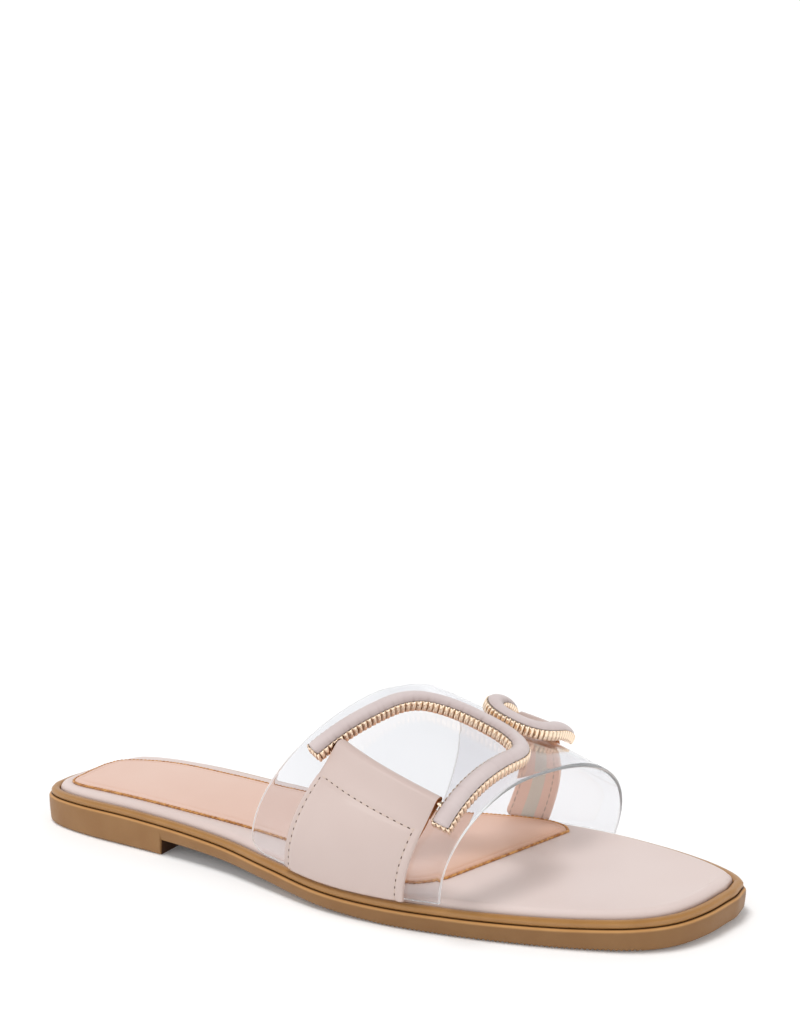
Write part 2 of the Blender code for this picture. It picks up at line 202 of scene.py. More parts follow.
sun_turn, sun_disc = np.radians(SUN_ANGLES), np.radians(SUN_DISC)
key = add_lamp("key", "SUN", SUN_STRENGTH, SUN_PLACE, sun_turn, angle=sun_disc)
key.visible_glossy = False
key.visible_transmission = False
for name, place, size, watts in SOFTBOXES:
    turn = (-Vector(place)).to_track_quat("-Z", "Y").to_euler()
    add_lamp(name, "AREA", watts, place, turn, size=size)
print("softboxes:", len(SOFTBOXES))

# %% [markdown]
# A surface is a grid of points. `patch` turns one into quads, closing it where it is a ring, and
# notes how far each corner lies along the surface, which makes a UV map in metres. `add_piece`
# joins patches to one mesh. A shape is closed by letting its last line fall together to a point
# or to a double line, where the points are then merged.

# %% Helpers for surfaces
METRES = 0.001
SOLE_LENGTH = 262.4
ORIGIN = np.array([SOLE_LENGTH / 2, -0.10, 0.0])
MERGE_DISTANCE = 2e-6
SHARP_ANGLE = 50.0


def way_along(line, ring=False):
    """Distance from a line's start to each of its points, and back to the start for a ring."""
    if ring:
        line = np.concatenate([line, line[:1]])
    steps = np.linalg.norm(np.diff(line, axis=0), axis=1)
    return np.append(0.0, np.cumsum(steps))


def read_line(line, way, at):
    """Points of a line at distances from its start, by straight steps between its points."""
    return np.stack([np.interp(at, way, values) for values in line.T], axis=1)


def unit(vectors):
    """Vectors brought to length 1."""
    return vectors / np.linalg.norm(vectors, axis=-1, keepdims=True)


def patch(grid, ring_rows=False, ring_columns=False, finish=0, shade=0.0):
    """Quads over a grid of points, with their UV map, the number of their finish and their painted shade.
    """
    rows, columns = grid.shape[:2]
    first = np.meshgrid(
        np.arange(rows - 1 + ring_rows), np.arange(columns - 1 + ring_columns), indexing="ij"
    )
    i = first[0].reshape(-1, 1) + np.array([0, 0, 1, 1])
    j = first[1].reshape(-1, 1) + np.array([0, 1, 1, 0])
    u = way_along(grid[:, columns // 2], ring_rows)
    v = way_along(grid[rows // 2], ring_columns)
    return {
        "points": grid.reshape(-1, 3),
        "quads": i % rows * columns + j % columns,
        "uv": np.stack([u[i], v[j]], axis=2) * METRES,
        "finish": np.broadcast_to(finish, len(i)).astype(np.int32),
        "shade": np.broadcast_to(shade, (rows, columns)).ravel().astype(np.float32),
    }


def add_piece(name, patches, finishes, stands_for=()):
    """One object from patches: points that meet are merged and faces turned outwards."""
    starts = np.cumsum([0] + [len(p["points"]) for p in patches])
    points = np.concatenate([p["points"] for p in patches])
    quads = np.concatenate([p["quads"] + start for p, start in zip(patches, starts)])
    mesh = bpy.data.meshes.new(name)
    mesh.from_pydata(((points - ORIGIN) * METRES).tolist(), [], quads.tolist())
    uv = mesh.uv_layers.new(name="along")
    uv.data.foreach_set("uv", np.concatenate([p["uv"] for p in patches]).ravel())
    mesh.polygons.foreach_set("material_index", np.concatenate([p["finish"] for p in patches]))
    # Painted shade of each point, which the finishes mix into their base colour.
    shade = mesh.attributes.new("shade", "FLOAT", "POINT")
    shade.data.foreach_set("value", np.concatenate([p["shade"] for p in patches]))
    for finish in finishes:
        mesh.materials.append(finish)
    shape = bmesh.new()
    shape.from_mesh(mesh)
    bmesh.ops.remove_doubles(shape, verts=shape.verts, dist=MERGE_DISTANCE)
    bmesh.ops.recalc_face_normals(shape, faces=shape.faces)
    shape.to_mesh(mesh)
    open_edges = sum(not edge.is_manifold for edge in shape.edges)
    shape.free()
    mesh.shade_smooth()
    mesh.set_sharp_from_angle(angle=np.radians(SHARP_ANGLE))
    made = bpy.data.objects.new(name, mesh)
    scene.collection.objects.link(made)
    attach(made, "root")
    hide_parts(*stands_for)
    print(f"{name}: {len(mesh.polygons)} faces, {open_edges} open edges")
    return made


# %% [markdown]
# The floor is a single pale plane. It belongs to the studio and is not part of the shoe.

# %% Floor
floor_glow = {"Emission Color": grey(1.0), "Emission Strength": 0.05}
floor_finish = new_finish("studio_floor", grey(0.95), 0.75, floor_glow)
corner = FLOOR_SIZE / 2
floor_mesh = bpy.data.meshes.new("floor")
floor_mesh.from_pydata(
    [(-corner, -corner, 0.0), (corner, -corner, 0.0), (corner, corner, 0.0), (-corner, corner, 0.0)],
    [],
    [(0, 1, 2, 3)],
)
floor_mesh.materials.append(floor_finish)
floor = bpy.data.objects.new("floor", floor_mesh)
scene.collection.objects.link(floor)
print("floor:", FLOOR_SIZE, "m")

# %% [markdown]
# All pieces of the bottom follow one sole pattern: how far each side stands from the middle line
# at stations counted from the back of the heel. A curve through those rows gives the
# outline, and two more tables give the height of the band's top and of the underside.

# %% Sole pattern
GAP = 0.3
BREAST_X = 63.0
BALL_STATION = 170.0
SOLE_PATTERN = (
    # station, lateral, medial
    (0.0, -13.0, -8.0),
    (1.0, -17.0, -1.0),
    (3.0, -20.5, 8.5),
    (6.0, -23.0, 19.0),
    (10.0, -25.0, 25.0),
    (17.0, -27.0, 28.5),
    (27.0, -28.7, 30.0),
    (52.0, -30.6, 30.1),
    (77.0, -32.5, 29.5),
    (92.0, -34.6, 29.9),
    (114.0, -40.3, 32.7),
    (137.0, -45.9, 38.6),
    (162.0, -46.9, 44.9),
    (185.0, -44.4, 47.6),
    (207.0, -39.8, 46.0),
    (227.0, -33.9, 40.9),
    (242.0, -27.4, 34.7),
    (252.0, -18.6, 28.9),
    (258.0, -6.9, 24.1),
    (261.0, 3.8, 20.4),
    (262.4, 11.0, 17.0),
)
BAND_TOP = (
    # station, height
    (0.0, 10.5),
    (47.0, 11.1),
    (82.0, 9.6),
    (112.0, 7.7),
    (142.0, 5.9),
    (182.0, 5.9),
    (217.0, 6.5),
    (262.4, 8.6),
)
UNDERSIDE = (
    # station, height of the arch and toe spring in front of the heel block
    (62.0, 5.5),
    (82.0, 4.8),
    (112.0, 3.1),
    (137.0, 1.1),
    (162.0, 0.0),
    (217.0, 0.0),
    (240.0, 0.35),
    (262.4, 1.3),
)


def smooth(table, x, column=1):
    """Cubic curve through a table's rows, with the slope of each row's neighbours, read at x."""
    rows = np.array(table)
    knots, values = rows[:, 0], rows[:, column]
    slopes = np.gradient(values, knots)
    i = np.clip(np.searchsorted(knots, x) - 1, 0, len(knots) - 2)
    step = knots[i + 1] - knots[i]
    t = np.clip((x - knots[i]) / step, 0.0, 1.0)
    start = values[i] * (1 + 2 * t) * (1 - t) ** 2 + slopes[i] * step * t * (1 - t) ** 2
    end = values[i + 1] * t**2 * (3 - 2 * t) - slopes[i + 1] * step * t**2 * (1 - t)
    return start + end


def station_angle(x):
    """Angle whose cosine runs evenly from heel to toe, so that both ends are round."""
    return np.arccos(np.clip(1 - 2 * x / SOLE_LENGTH, -1.0, 1.0))


def sole_side(x, column):
    """Distance of one side of the sole from the middle line: a smooth curve over the angle."""
    rows = np.array(SOLE_PATTERN)
    rows[:, 0] = station_angle(rows[:, 0])
    return smooth(rows, station_angle(x), column)


def band_top(x):
    """Height of the top of the sole's band."""
    return smooth(BAND_TOP, x)


def underside(x):
    """Height of the underside: heel block, arch, flat forefoot and toe spring."""
    return np.where(x < BREAST_X, 0.0, np.maximum(smooth(UNDERSIDE, x), 0.0))


def loop_and_spine(lateral, medial, spare, end_points):
    """Closed loop of two sides and their straight ends, and the spine point each point faces.

    The spine is the middle between the sides, without a spare share of it at each end."""
    count = len(lateral)
    middle = (lateral + medial) / 2
    keep = np.clip(np.arange(count), int(spare * count), count - 1 - int(spare * count))
    step = np.linspace(0.0, 1.0, end_points + 2)[1:-1, None]
    toe = lateral[-1] + (medial[-1] - lateral[-1]) * step
    heel = medial[0] + (lateral[0] - medial[0]) * step
    facing = middle[keep]
    toe_facing = np.repeat(facing[-1:], end_points, axis=0)
    heel_facing = np.repeat(facing[:1], end_points, axis=0)
    loop = np.concatenate([lateral, toe, medial[::-1], heel])
    return loop, np.concatenate([facing, toe_facing, facing[::-1], heel_facing])


def sole_loop(count):
    """Sole outline with stations close together at heel and toe, and its spine points."""
    x = SOLE_LENGTH / 2 * (1 - np.cos(np.linspace(0.0, np.pi, count)))
    sides = [np.stack([x, sole_side(x, column)], axis=1) for column in (1, 2)]
    return loop_and_spine(*sides, spare=0.12, end_points=8)


def inset_loop(loop, inset, reach=3):
    """Closed outline moved inwards along normals that look some points to each side."""
    along = unit(np.roll(loop, -reach, axis=0) - np.roll(loop, reach, axis=0))
    return loop + inset * np.stack([-along[:, 1], along[:, 0]], axis=1)


def level(flat, heights):
    """Points of an outline with a height for each."""
    return np.concatenate([flat, np.asarray(heights)[..., None]], axis=-1)


ball_sides = [sole_side(BALL_STATION, column) for column in (1, 2)]
print("ball width:", round(float(np.ptp(ball_sides)), 1), "mm")

# %% [markdown]
# The outsole is one moulding: a heel block, a thin arch and a flat forefoot, with an upright wall,
# a rounded top edge and a fine tread whose grooves run out through the lower edge. A loft of
# outlines, from the underside's spine out to the wall, up and back in over the top, makes all of
# it at once. The tread only lifts the points of the underside. Each row also carries a painted
# shade, which darkens the arch, the wall and the ledge under the bead, and leaves the rim between
# them lighter as a painted highlight.

# %% Outsole
SOLE_COUNT = 1150
TREAD_PITCH = 1.5
TREAD_DEPTH = 0.5
TREAD_FIELDS = ((6.0, 60.0), (124.0, 244.0))
TREAD_FADE = 3.0
FOOT_RADIUS = 1.2
FOOT_INSET = 0.45
SHOULDER_RADIUS = 0.9
LEDGE_INSET = 2.4
WALL_CROWN = 0.12
ARCH_SHADE = 1.0
ARCH_START = BREAST_X - 1.0
ARCH_END = 150.0
ARCH_FADE = 50.0
SPINE_ROWS = 7
UNDER_ROWS = SPINE_ROWS + 1
FOOT_START = 15.0
FOOT_ROWS = 5
WALL_STEPS = (0.25, 0.5, 0.75)
SHOULDER_ROWS = 6
LEDGE_STEPS = (0.0, 0.5, 1.0)
WALL_SHADE = ((0.0, 0.52), (90.0, 0.53), (150.0, 0.61), (200.0, 0.63), (262.4, 0.60))
TOP_SHADE = (0.40, 0.12, 0.08, 0.25, 0.85, 0.95, 0.95, 0.95)


def tread(x):
    """Rise of the underside in the tread: cosine grooves across the sole, within two fields."""
    fields = sum(
        np.clip((x - start) / TREAD_FADE, 0.0, 1.0) * np.clip((end - x) / TREAD_FADE, 0.0, 1.0)
        for start, end in TREAD_FIELDS
    )
    return TREAD_DEPTH * fields * (0.5 - 0.5 * np.cos(2 * np.pi * x / TREAD_PITCH))


def outsole_grid():
    """Rows from the underside's spine to the lower edge, up the wall and in over the top."""
    loop, facing = sole_loop(SOLE_COUNT)
    x = loop[:, 0]
    rows = []
    lower = inset_loop(loop, FOOT_INSET + FOOT_RADIUS)
    for share in np.linspace(1.0, 0.0, SPINE_ROWS):
        flat = lower + (facing - lower) * share
        rows.append(level(flat, underside(x) + tread(x)))
    for angle in np.radians(np.linspace(FOOT_START, 90.0, FOOT_ROWS)):
        rise = FOOT_RADIUS * (1 - np.cos(angle))
        flat = inset_loop(loop, FOOT_INSET + FOOT_RADIUS * (1 - np.sin(angle)))
        rows.append(level(flat, underside(x) + rise + tread(x) * np.cos(angle)))
    wall_foot = underside(x) + FOOT_RADIUS
    wall_head = band_top(x) - SHOULDER_RADIUS
    for share in WALL_STEPS:
        inset = FOOT_INSET * (1 - share) - WALL_CROWN * np.sin(np.pi * share)
        rows.append(level(inset_loop(loop, inset), wall_foot + (wall_head - wall_foot) * share))
    for angle in np.radians(np.linspace(0.0, 90.0, SHOULDER_ROWS)):
        flat = inset_loop(loop, SHOULDER_RADIUS * (1 - np.cos(angle)))
        rows.append(level(flat, wall_head + SHOULDER_RADIUS * np.sin(angle)))
    ledge = inset_loop(loop, LEDGE_INSET)
    for share in LEDGE_STEPS:
        rows.append(level(ledge + (facing - ledge) * share, band_top(x)))
    return np.stack(rows)


gum = new_finish("gum_rubber", screen(146, 104, 65), 0.45, {"Specular IOR Level": 0.35})
speckle = noise(gum, 90.0, detail=6.0)
brown = ramp(gum, speckle, ((0.3, screen(190, 140, 86)), (0.7, screen(200, 151, 96))))
# Painted shade: dark brown mixed in where the rows carry shade.
darken(gum, brown, screen(66, 36, 8))
join(gum, span(gum, noise(gum, 900.0), 0.38, 0.55), "Roughness")
emboss(gum, noise(gum, 2400.0, detail=3.0), 0.00006, 0.3)
grid = outsole_grid()
station = grid[UNDER_ROWS, :, 0]
# Painted shade and highlight: wall darker towards the toe, rim lighter, ledge, arch and heel breast dark.
wall_shade = smooth(WALL_SHADE, station)
sole_shade = np.repeat(wall_shade[None], len(grid), axis=0)
sole_shade[-len(TOP_SHADE) :] = np.array(TOP_SHADE)[:, None]
arch = np.clip((ARCH_END - station) / ARCH_FADE, 0.0, 1.0) * (station > ARCH_START)
sole_shade[:UNDER_ROWS] = np.maximum(ARCH_SHADE * arch, wall_shade)
sole_patch = patch(grid, ring_columns=True, shade=sole_shade)
add_piece("outsole_moulding", [sole_patch], [gum], ["outsole"])

# %% [markdown]
# A half-round rubber bead lies on the outsole's ledge all the way round and hides the joint to the
# footbed. It is a closed section, a squarish oval, carried along the sole's outline.

# %% Welt bead
BEAD_COUNT = 330
BEAD_INSET = 2.5
BEAD_HALF_WIDTH = 1.6
BEAD_LOW = -0.15
BEAD_HIGH = 2.4
BEAD_POWER = 2.4
BEAD_POINTS = 26
BEAD_LIT = 0.4


def squared(wave, power):
    """Cosine or sine to the power 2 / power, with its sign kept."""
    return np.sign(wave) * np.abs(wave) ** (2 / power)


def oval(points, power):
    """Closed superellipse of half sizes 1: cosine and sine, each to the power 2 / power."""
    angle = np.linspace(0.0, 2 * np.pi, points, endpoint=False)
    return squared(np.cos(angle), power), squared(np.sin(angle), power)


def bead_grid():
    """Oval section round the outline, above the band's top."""
    loop, _ = sole_loop(BEAD_COUNT)
    wide, high = oval(BEAD_POINTS, BEAD_POWER)
    middle = band_top(loop[:, 0]) + (BEAD_HIGH + BEAD_LOW) / 2
    half = (BEAD_HIGH - BEAD_LOW) / 2
    rows = []
    for aside, rise in zip(wide, high):
        flat = inset_loop(loop, BEAD_INSET + BEAD_HALF_WIDTH * aside, reach=1)
        rows.append(level(flat, middle + half * rise))
    return np.stack(rows)


bead_rubber = new_finish("welt_rubber", screen(157, 112, 58), 0.36, {"Specular IOR Level": 0.5})
streaks = noise(bead_rubber, 90.0, detail=5.0)
bead_stops = ((0.3, screen(157, 112, 61)), (0.7, screen(167, 122, 70)))
darken(bead_rubber, ramp(bead_rubber, streaks, bead_stops), screen(80, 52, 26))
emboss(bead_rubber, noise(bead_rubber, 2000.0), 0.00005, 0.25)
# Painted shade: the lower part of the bead turns dark towards its underside.
_, bead_rise = oval(BEAD_POINTS, BEAD_POWER)
bead_shade = np.clip(-bead_rise - BEAD_LIT, 0.0, 1.0)[:, None]
bead_patch = patch(bead_grid(), True, True, shade=bead_shade)
add_piece("welt_bead", [bead_patch], [bead_rubber], ["welt"])

# %% [markdown]
# The footbed is a board wrapped in soft nude leather: upright at its edge, round over the top and
# nearly flat. It is lofted from outlines like the outsole. Fine creases of the leather are a
# relief in the finish, because they are far smaller than the faces.

# %% Footbed
FOOTBED_COUNT = 420
FOOTBED_INSET = 4.5
FOOTBED_TOP = 4.2
FOOTBED_RADIUS = 2.5
FOOTBED_EDGE_ROWS = 8
FOOTBED_STEPS = (0.06, 0.15, 0.3, 0.5, 0.75, 1.0)
EDGE_SHADE = (0.7, 0.05, 0.0)


def footbed_grid():
    """Rows from the hidden underside out to the edge, up, round and in over the top."""
    loop, facing = sole_loop(FOOTBED_COUNT)
    base = band_top(loop[:, 0])
    edge = inset_loop(loop, FOOTBED_INSET)
    rows = [level(facing, base + GAP), level(edge, base + GAP)]
    rows.append(level(edge, base + (FOOTBED_TOP - FOOTBED_RADIUS + GAP) / 2))
    for angle in np.radians(np.linspace(0.0, 90.0, FOOTBED_EDGE_ROWS)):
        flat = inset_loop(loop, FOOTBED_INSET + FOOTBED_RADIUS * (1 - np.cos(angle)))
        rows.append(level(flat, base + FOOTBED_TOP - FOOTBED_RADIUS * (1 - np.sin(angle))))
    rim = inset_loop(loop, FOOTBED_INSET + FOOTBED_RADIUS)
    for share in FOOTBED_STEPS:
        rows.append(level(rim + (facing - rim) * share, base + FOOTBED_TOP))
    return np.stack(rows)


nude = new_finish("nude_leather", screen(213, 196, 190), 0.42, {"Specular IOR Level": 0.4})
blush = ((0.3, screen(213, 195, 189)), (0.75, screen(218, 202, 197)))
darken(nude, ramp(nude, noise(nude, 18.0, detail=2.0), blush), screen(120, 90, 76))
join(nude, span(nude, noise(nude, 60.0), 0.36, 0.5), "Roughness")
emboss(nude, noise(nude, 2200.0, detail=2.0), 0.00005, 0.2)
grid = footbed_grid()
# Painted shade on the hidden underside and at the foot of the edge, beside the bead.
edge_shade = np.zeros((len(grid), 1))
edge_shade[: len(EDGE_SHADE)] = np.array(EDGE_SHADE)[:, None]
cover_patch = patch(grid, ring_columns=True, shade=edge_shade)
add_piece("footbed_cover", [cover_patch], [nude], ["footbed"])

# %% [markdown]
# A padded sock of peach leather lies on the footbed, and its front edge slants forward to the big
# toe. Its height depends only on how far a point lies from the edge: a round rim, a shallow sewn
# line, then a soft swell. That distance is measured from every point of the grid to the outline.

# %% Padded sock
PAD_PATTERN = (
    # lateral station, lateral, medial station, medial
    (10.0, -6.0, 10.0, 5.0),
    (13.0, -17.0, 14.0, 12.5),
    (32.0, -20.0, 32.0, 17.5),
    (62.0, -21.5, 62.0, 17.5),
    (97.0, -22.0, 97.0, 18.5),
    (127.0, -25.0, 132.0, 26.5),
    (150.0, -29.5, 157.0, 35.5),
    (163.0, -32.5, 180.0, 40.0),
    (169.0, -30.0, 190.0, 38.0),
    (174.0, -24.0, 193.5, 34.0),
)
PAD_COUNT = 260
PAD_FRONT_POINTS = 110
PAD_LOW = 4.3
PAD_RIM = 5.05
PAD_HIGH = 5.5
PAD_RIM_RADIUS = 0.75
PAD_SEAM = 2.3
PAD_SEAM_DEPTH = 0.32
PAD_SEAM_WIDTH = 0.55
PAD_SWELL = 9.0
PAD_SWELL_POWER = 0.7
PAD_ROWS = 46
PAD_ROW_POWER = 1.9
PAD_SHADE = 0.6
PAD_SHADE_WIDTH = 7.0
PAD_SHADE_START = 120.0
PAD_SHADE_RUN = 50.0


def pad_loop():
    """Outline of the sock: its two sides, a slanting front and a short back, and its spine."""
    rows = np.array(PAD_PATTERN)
    run = np.linspace(0.0, 1.0, len(rows))
    share = (1 - np.cos(np.linspace(0.0, np.pi, PAD_COUNT))) / 2
    columns = [smooth(np.stack([run, column], axis=1), share) for column in rows.T]
    lateral = np.stack(columns[:2], axis=1)
    medial = np.stack(columns[2:], axis=1)
    return loop_and_spine(lateral, medial, spare=0.3, end_points=PAD_FRONT_POINTS)


def distance_to(points, loop):
    """Shortest distance of each point to the points of a loop."""
    gaps = points[..., None, :] - loop
    return np.sqrt((gaps**2).sum(axis=-1).min(axis=-1))


def pad_height(distance):
    """Height over the band: round rim, sewn line and swell, each from the distance to the edge."""
    rim = np.clip(1 - distance / PAD_RIM_RADIUS, 0.0, 1.0)
    rise = PAD_LOW + (PAD_RIM - PAD_LOW) * np.sqrt(1 - rim**2)
    climb = np.clip((distance - PAD_RIM_RADIUS) / PAD_SWELL, 0.0, 1.0)
    swell = (PAD_HIGH - PAD_RIM) * climb**PAD_SWELL_POWER
    seam = PAD_SEAM_DEPTH * np.exp(-(((distance - PAD_SEAM) / PAD_SEAM_WIDTH) ** 2))
    return rise + swell - seam


def pad_grid():
    """Rows from the hidden underside to the edge, then inwards over the top to the spine.

    The painted shade beside them fades away from the edge, and grows towards the front."""
    loop, facing = pad_loop()
    share = np.linspace(0.0, 1.0, PAD_ROWS) ** PAD_ROW_POWER
    flat = loop + (facing - loop) * share[:, None, None]
    flat = np.concatenate([flat, facing[None]])
    distance = np.stack([distance_to(row, loop) for row in flat])
    base = band_top(flat[..., 0])
    top = level(flat, base + pad_height(distance))
    under = level(flat[[-1]], base[[-1]] + PAD_LOW)
    forward = np.clip((flat[..., 0] - PAD_SHADE_START) / PAD_SHADE_RUN, 0.0, 1.0)
    pad_shade = PAD_SHADE * forward * np.exp(-distance / PAD_SHADE_WIDTH)
    return np.concatenate([under, top]), np.concatenate([pad_shade[[-1]], pad_shade])


peach = new_finish("peach_leather", screen(216, 182, 166), 0.46, {"Specular IOR Level": 0.35})
warmth = ((0.3, screen(219, 184, 168)), (0.75, screen(225, 195, 181)))
darken(peach, ramp(peach, noise(peach, 14.0, detail=2.0), warmth), screen(196, 142, 104))
join(peach, span(peach, noise(peach, 120.0), 0.4, 0.55), "Roughness")
emboss(peach, noise(peach, 1800.0, detail=3.0), 0.00006, 0.25)
# Painted shade: the sock turns a darker, warmer tan near its edge, more towards the front.
grid, pad_shade = pad_grid()
sock_patch = patch(grid, ring_columns=True, shade=pad_shade)
pad = add_piece("padded_sock", [sock_patch], [peach], ["insole_pad"])

# %% [markdown]
# A shiny golden thread is laid along the foot of the sock's edge. It is twisted from two strands,
# so its radius swells twice round the section, and the swelling winds on along the thread.

# %% Golden edging
THREAD_RADIUS = 0.42
THREAD_PITCH = 1.6
THREAD_SWELL = 0.3
THREAD_OUTSET = 0.4
THREAD_HEIGHT = 4.6
THREAD_POINTS = 12
THREAD_STEP = 0.24


def evenly(line, step, ring=False):
    """Points a step apart along a line."""
    way = way_along(line, ring)
    line = np.concatenate([line, line[:1]]) if ring else line
    count = max(int(round(way[-1] / step)), 2)
    at = np.linspace(0.0, way[-1], count, endpoint=not ring)
    return read_line(line, way, at), at


def thread_grid():
    """Twisted tube: radius 1 + swell * cos(2 * (turn - twist)), twist growing with the way."""
    loop, _ = pad_loop()
    path, way = evenly(inset_loop(loop, -THREAD_OUTSET), THREAD_STEP, ring=True)
    turns = round(way[-1] / THREAD_PITCH) / (way[-1] + THREAD_STEP)
    outwards = path - inset_loop(path, 1.0)
    turn = np.linspace(0.0, 2 * np.pi, THREAD_POINTS, endpoint=False)[:, None]
    radius = THREAD_RADIUS * (1 + THREAD_SWELL * np.cos(2 * turn - 2 * np.pi * turns * way))
    flat = path + (radius * np.cos(turn))[..., None] * outwards
    return level(flat, band_top(path[:, 0]) + THREAD_HEIGHT + radius * np.sin(turn))


gilt = new_finish("golden_thread", screen(190, 132, 66), 0.3, {"Specular IOR Level": 0.6})
gilt_stops = ((0.35, screen(160, 98, 40)), (0.65, screen(208, 152, 86)))
join(gilt, ramp(gilt, noise(gilt, 700.0, detail=1.0), gilt_stops), "Base Color")
add_piece("sock_edging", [patch(thread_grid(), True, True)], [gilt])

# %% [markdown]
# The vamp is one band of clear vinyl bent over the foot. Its arch is made from two quarters of a
# superellipse that meet at the crest, one for each side, with a slight bulge at half height. The
# arch changes evenly from the band's rear edge to its front edge. Everything on the band is placed
# by a share of its girth and of its run, and lifted off along its normal.

# %% Vamp surface
VAMP_WALL = 1.2
VAMP_INSET = 3.0
VAMP_FOOT = 0.9
GIRTH = 155.0
RUN_LENGTH = 66.0
QUARTER_POINTS = 121
FACE_ROWS = 65
VAMP_EDGES = (
    # rear and front edge: lateral station, medial station, crest height, crest share of the width,
    # lateral power, medial power, lateral bulge, medial bulge, lean of the crest
    (104.8, 141.6, 64.4, 0.50, 1.84, 2.90, 5.7, 2.0, 16.0),
    (180.8, 208.8, 45.1, 0.38, 2.21, 2.41, 2.7, 1.0, 8.0),
)


def quarter(power, points):
    """Quarter of a superellipse from an upright foot to a level crest."""
    angle = np.linspace(0.0, np.pi / 2, points)
    return 1 - np.cos(angle) ** (2 / power), np.sin(angle) ** (2 / power)


def vamp_section(run):
    """Arch at a share of the way from rear to front, its points even along the girth."""
    points = QUARTER_POINTS
    rear, front = np.array(VAMP_EDGES)
    lateral_x, medial_x, crest, crest_share, *shape, lean = rear + (front - rear) * run
    lateral_power, medial_power, lateral_bulge, medial_bulge = shape
    feet = []
    for x, column, sign in ((lateral_x, 1, 1.0), (medial_x, 2, -1.0)):
        foot_z = band_top(x) + BEAD_HIGH + VAMP_FOOT
        feet.append(np.array([x, sole_side(x, column) + sign * VAMP_INSET, foot_z]))
    rise_out, rise_up = quarter(lateral_power, points)
    fall_out, fall_up = quarter(medial_power, points)
    across = np.append(crest_share * rise_out, 1 - (1 - crest_share) * fall_out[-2::-1])
    up = np.append(rise_up, fall_up[-2::-1])
    chord = feet[1] - feet[0]
    chord[2] = 0.0
    bulge = np.where(np.arange(len(up)) < points, -lateral_bulge, medial_bulge)
    across = across + bulge * 4 * up * (1 - up) / np.linalg.norm(chord)
    arch = feet[0] + np.outer(across, chord)
    foot_z = feet[0][2] + (feet[1][2] - feet[0][2]) * np.clip(across, 0.0, 1.0)
    arch[:, 2] = foot_z + (crest - foot_z) * up
    arch[:, 0] += lean * up
    girth = way_along(arch)
    share = np.linspace(0.0, girth[-1], 2 * points - 1)
    return read_line(arch, girth, share)


def grid_normals(grid):
    """Outward unit normals: the cross product of the grid's two directions."""
    return unit(np.cross(np.gradient(grid, axis=0), np.gradient(grid, axis=1)))


FACE = np.array([vamp_section(run) for run in np.linspace(0.0, 1.0, FACE_ROWS)])
FACE_NORMALS = grid_normals(FACE)


def read_grid(grid, girth_share, run):
    """Grid value between its points, by straight lines in both directions."""
    rows, columns = grid.shape[0] - 1, grid.shape[1] - 1
    j = np.clip(girth_share, 0.0, 1.0) * columns
    i = np.clip(run, 0.0, 1.0) * rows
    j0 = np.minimum(j.astype(int), columns - 1)
    i0 = np.minimum(i.astype(int), rows - 1)
    a = (j - j0)[..., None]
    b = (i - i0)[..., None]
    rear = grid[i0, j0] * (1 - a) + grid[i0, j0 + 1] * a
    front = grid[i0 + 1, j0] * (1 - a) + grid[i0 + 1, j0 + 1] * a
    return rear * (1 - b) + front * b


print("vamp face:", FACE.shape[0], "by", FACE.shape[1], "points")

# %% [markdown]
# The film itself is a closed loop of points from rear to front on the outside, round the front
# rim, back on the inside and round the rear rim, repeated along the girth. Its lower rear corner
# on the outer side is cut round. A wall with a transmitting shader bends light at both faces,
# which draws the grey edges that make clear vinyl readable. Clear vinyl hardly darkens what lies
# under it, so the film casts no shadow, and soft light passes it on its way to the footbed.

# %% Clear film
FILM_ROWS = 56
FILM_COLUMNS = 190
RIM_POINTS = 7
CORNER_RADIUS = 6.0


def film_grid():
    """Loop of outer face, front rim, inner face and rear rim, at each share of the girth."""
    share = (1 - np.cos(np.linspace(0.0, np.pi, FILM_COLUMNS))) / 2
    margin = VAMP_WALL / 2 / RUN_LENGTH
    low = np.clip(1 - share * GIRTH / CORNER_RADIUS, 0.0, 1.0)
    cut = CORNER_RADIUS * (1 - np.sqrt(1 - low**2)) / RUN_LENGTH
    part = np.linspace(0.0, 1.0, FILM_ROWS)[:, None]
    run = margin + cut + (1 - 2 * margin - cut) * part
    girth_share = np.broadcast_to(share, run.shape)
    outer = read_grid(FACE, girth_share, run)
    normals = read_grid(FACE_NORMALS, girth_share, run)
    inner = outer - VAMP_WALL * normals
    turn = np.linspace(0.0, np.pi, RIM_POINTS + 2)[1:-1, None, None]
    rims = []
    for edge, beside in ((-1, -2), (0, 1)):
        ahead = unit(outer[edge] - outer[beside])
        middle = (outer[edge] + inner[edge]) / 2
        rims.append(middle + VAMP_WALL / 2 * (np.cos(turn) * normals[edge] + np.sin(turn) * ahead))
    film = np.concatenate([outer, rims[0], inner[::-1], rims[1][::-1]])
    centre = (outer + inner) / 2
    rim_centres = [np.repeat(centre[[edge]], RIM_POINTS, axis=0) for edge in (-1, 0)]
    core = np.concatenate([centre, rim_centres[0], centre[::-1], rim_centres[1]])
    return np.concatenate([core[:, :1], film, core[:, -1:]], axis=1)


def film_finishes(columns):
    """Finish of each face: 0 on the band's clear faces, 1 on the cut edge at its rims and feet."""
    rims = np.zeros(2 * (FILM_ROWS + RIM_POINTS), dtype=int)
    rims[FILM_ROWS - 1 : FILM_ROWS + RIM_POINTS] = 1
    rims[-RIM_POINTS - 1 :] = 1
    feet = np.zeros(columns - 1, dtype=int)
    feet[[0, -1]] = 1
    return np.maximum(rims[:, None], feet).ravel()


vinyl = new_finish(
    "clear_vinyl", (0.865, 0.87, 0.895, 1.0), 0.02, {"Transmission Weight": 1.0, "IOR": 1.46}
)
cut_edge = new_finish(
    "vinyl_cut_edge", (0.90, 0.915, 0.93, 1.0), 0.35, {"Transmission Weight": 0.62, "IOR": 1.2}
)
grid = film_grid()
film_patch = patch(grid, ring_rows=True, finish=film_finishes(grid.shape[1]))
film = add_piece("clear_film", [film_patch], [vinyl, cut_edge], ["vamp"])
film.visible_shadow = False
film.visible_diffuse = False

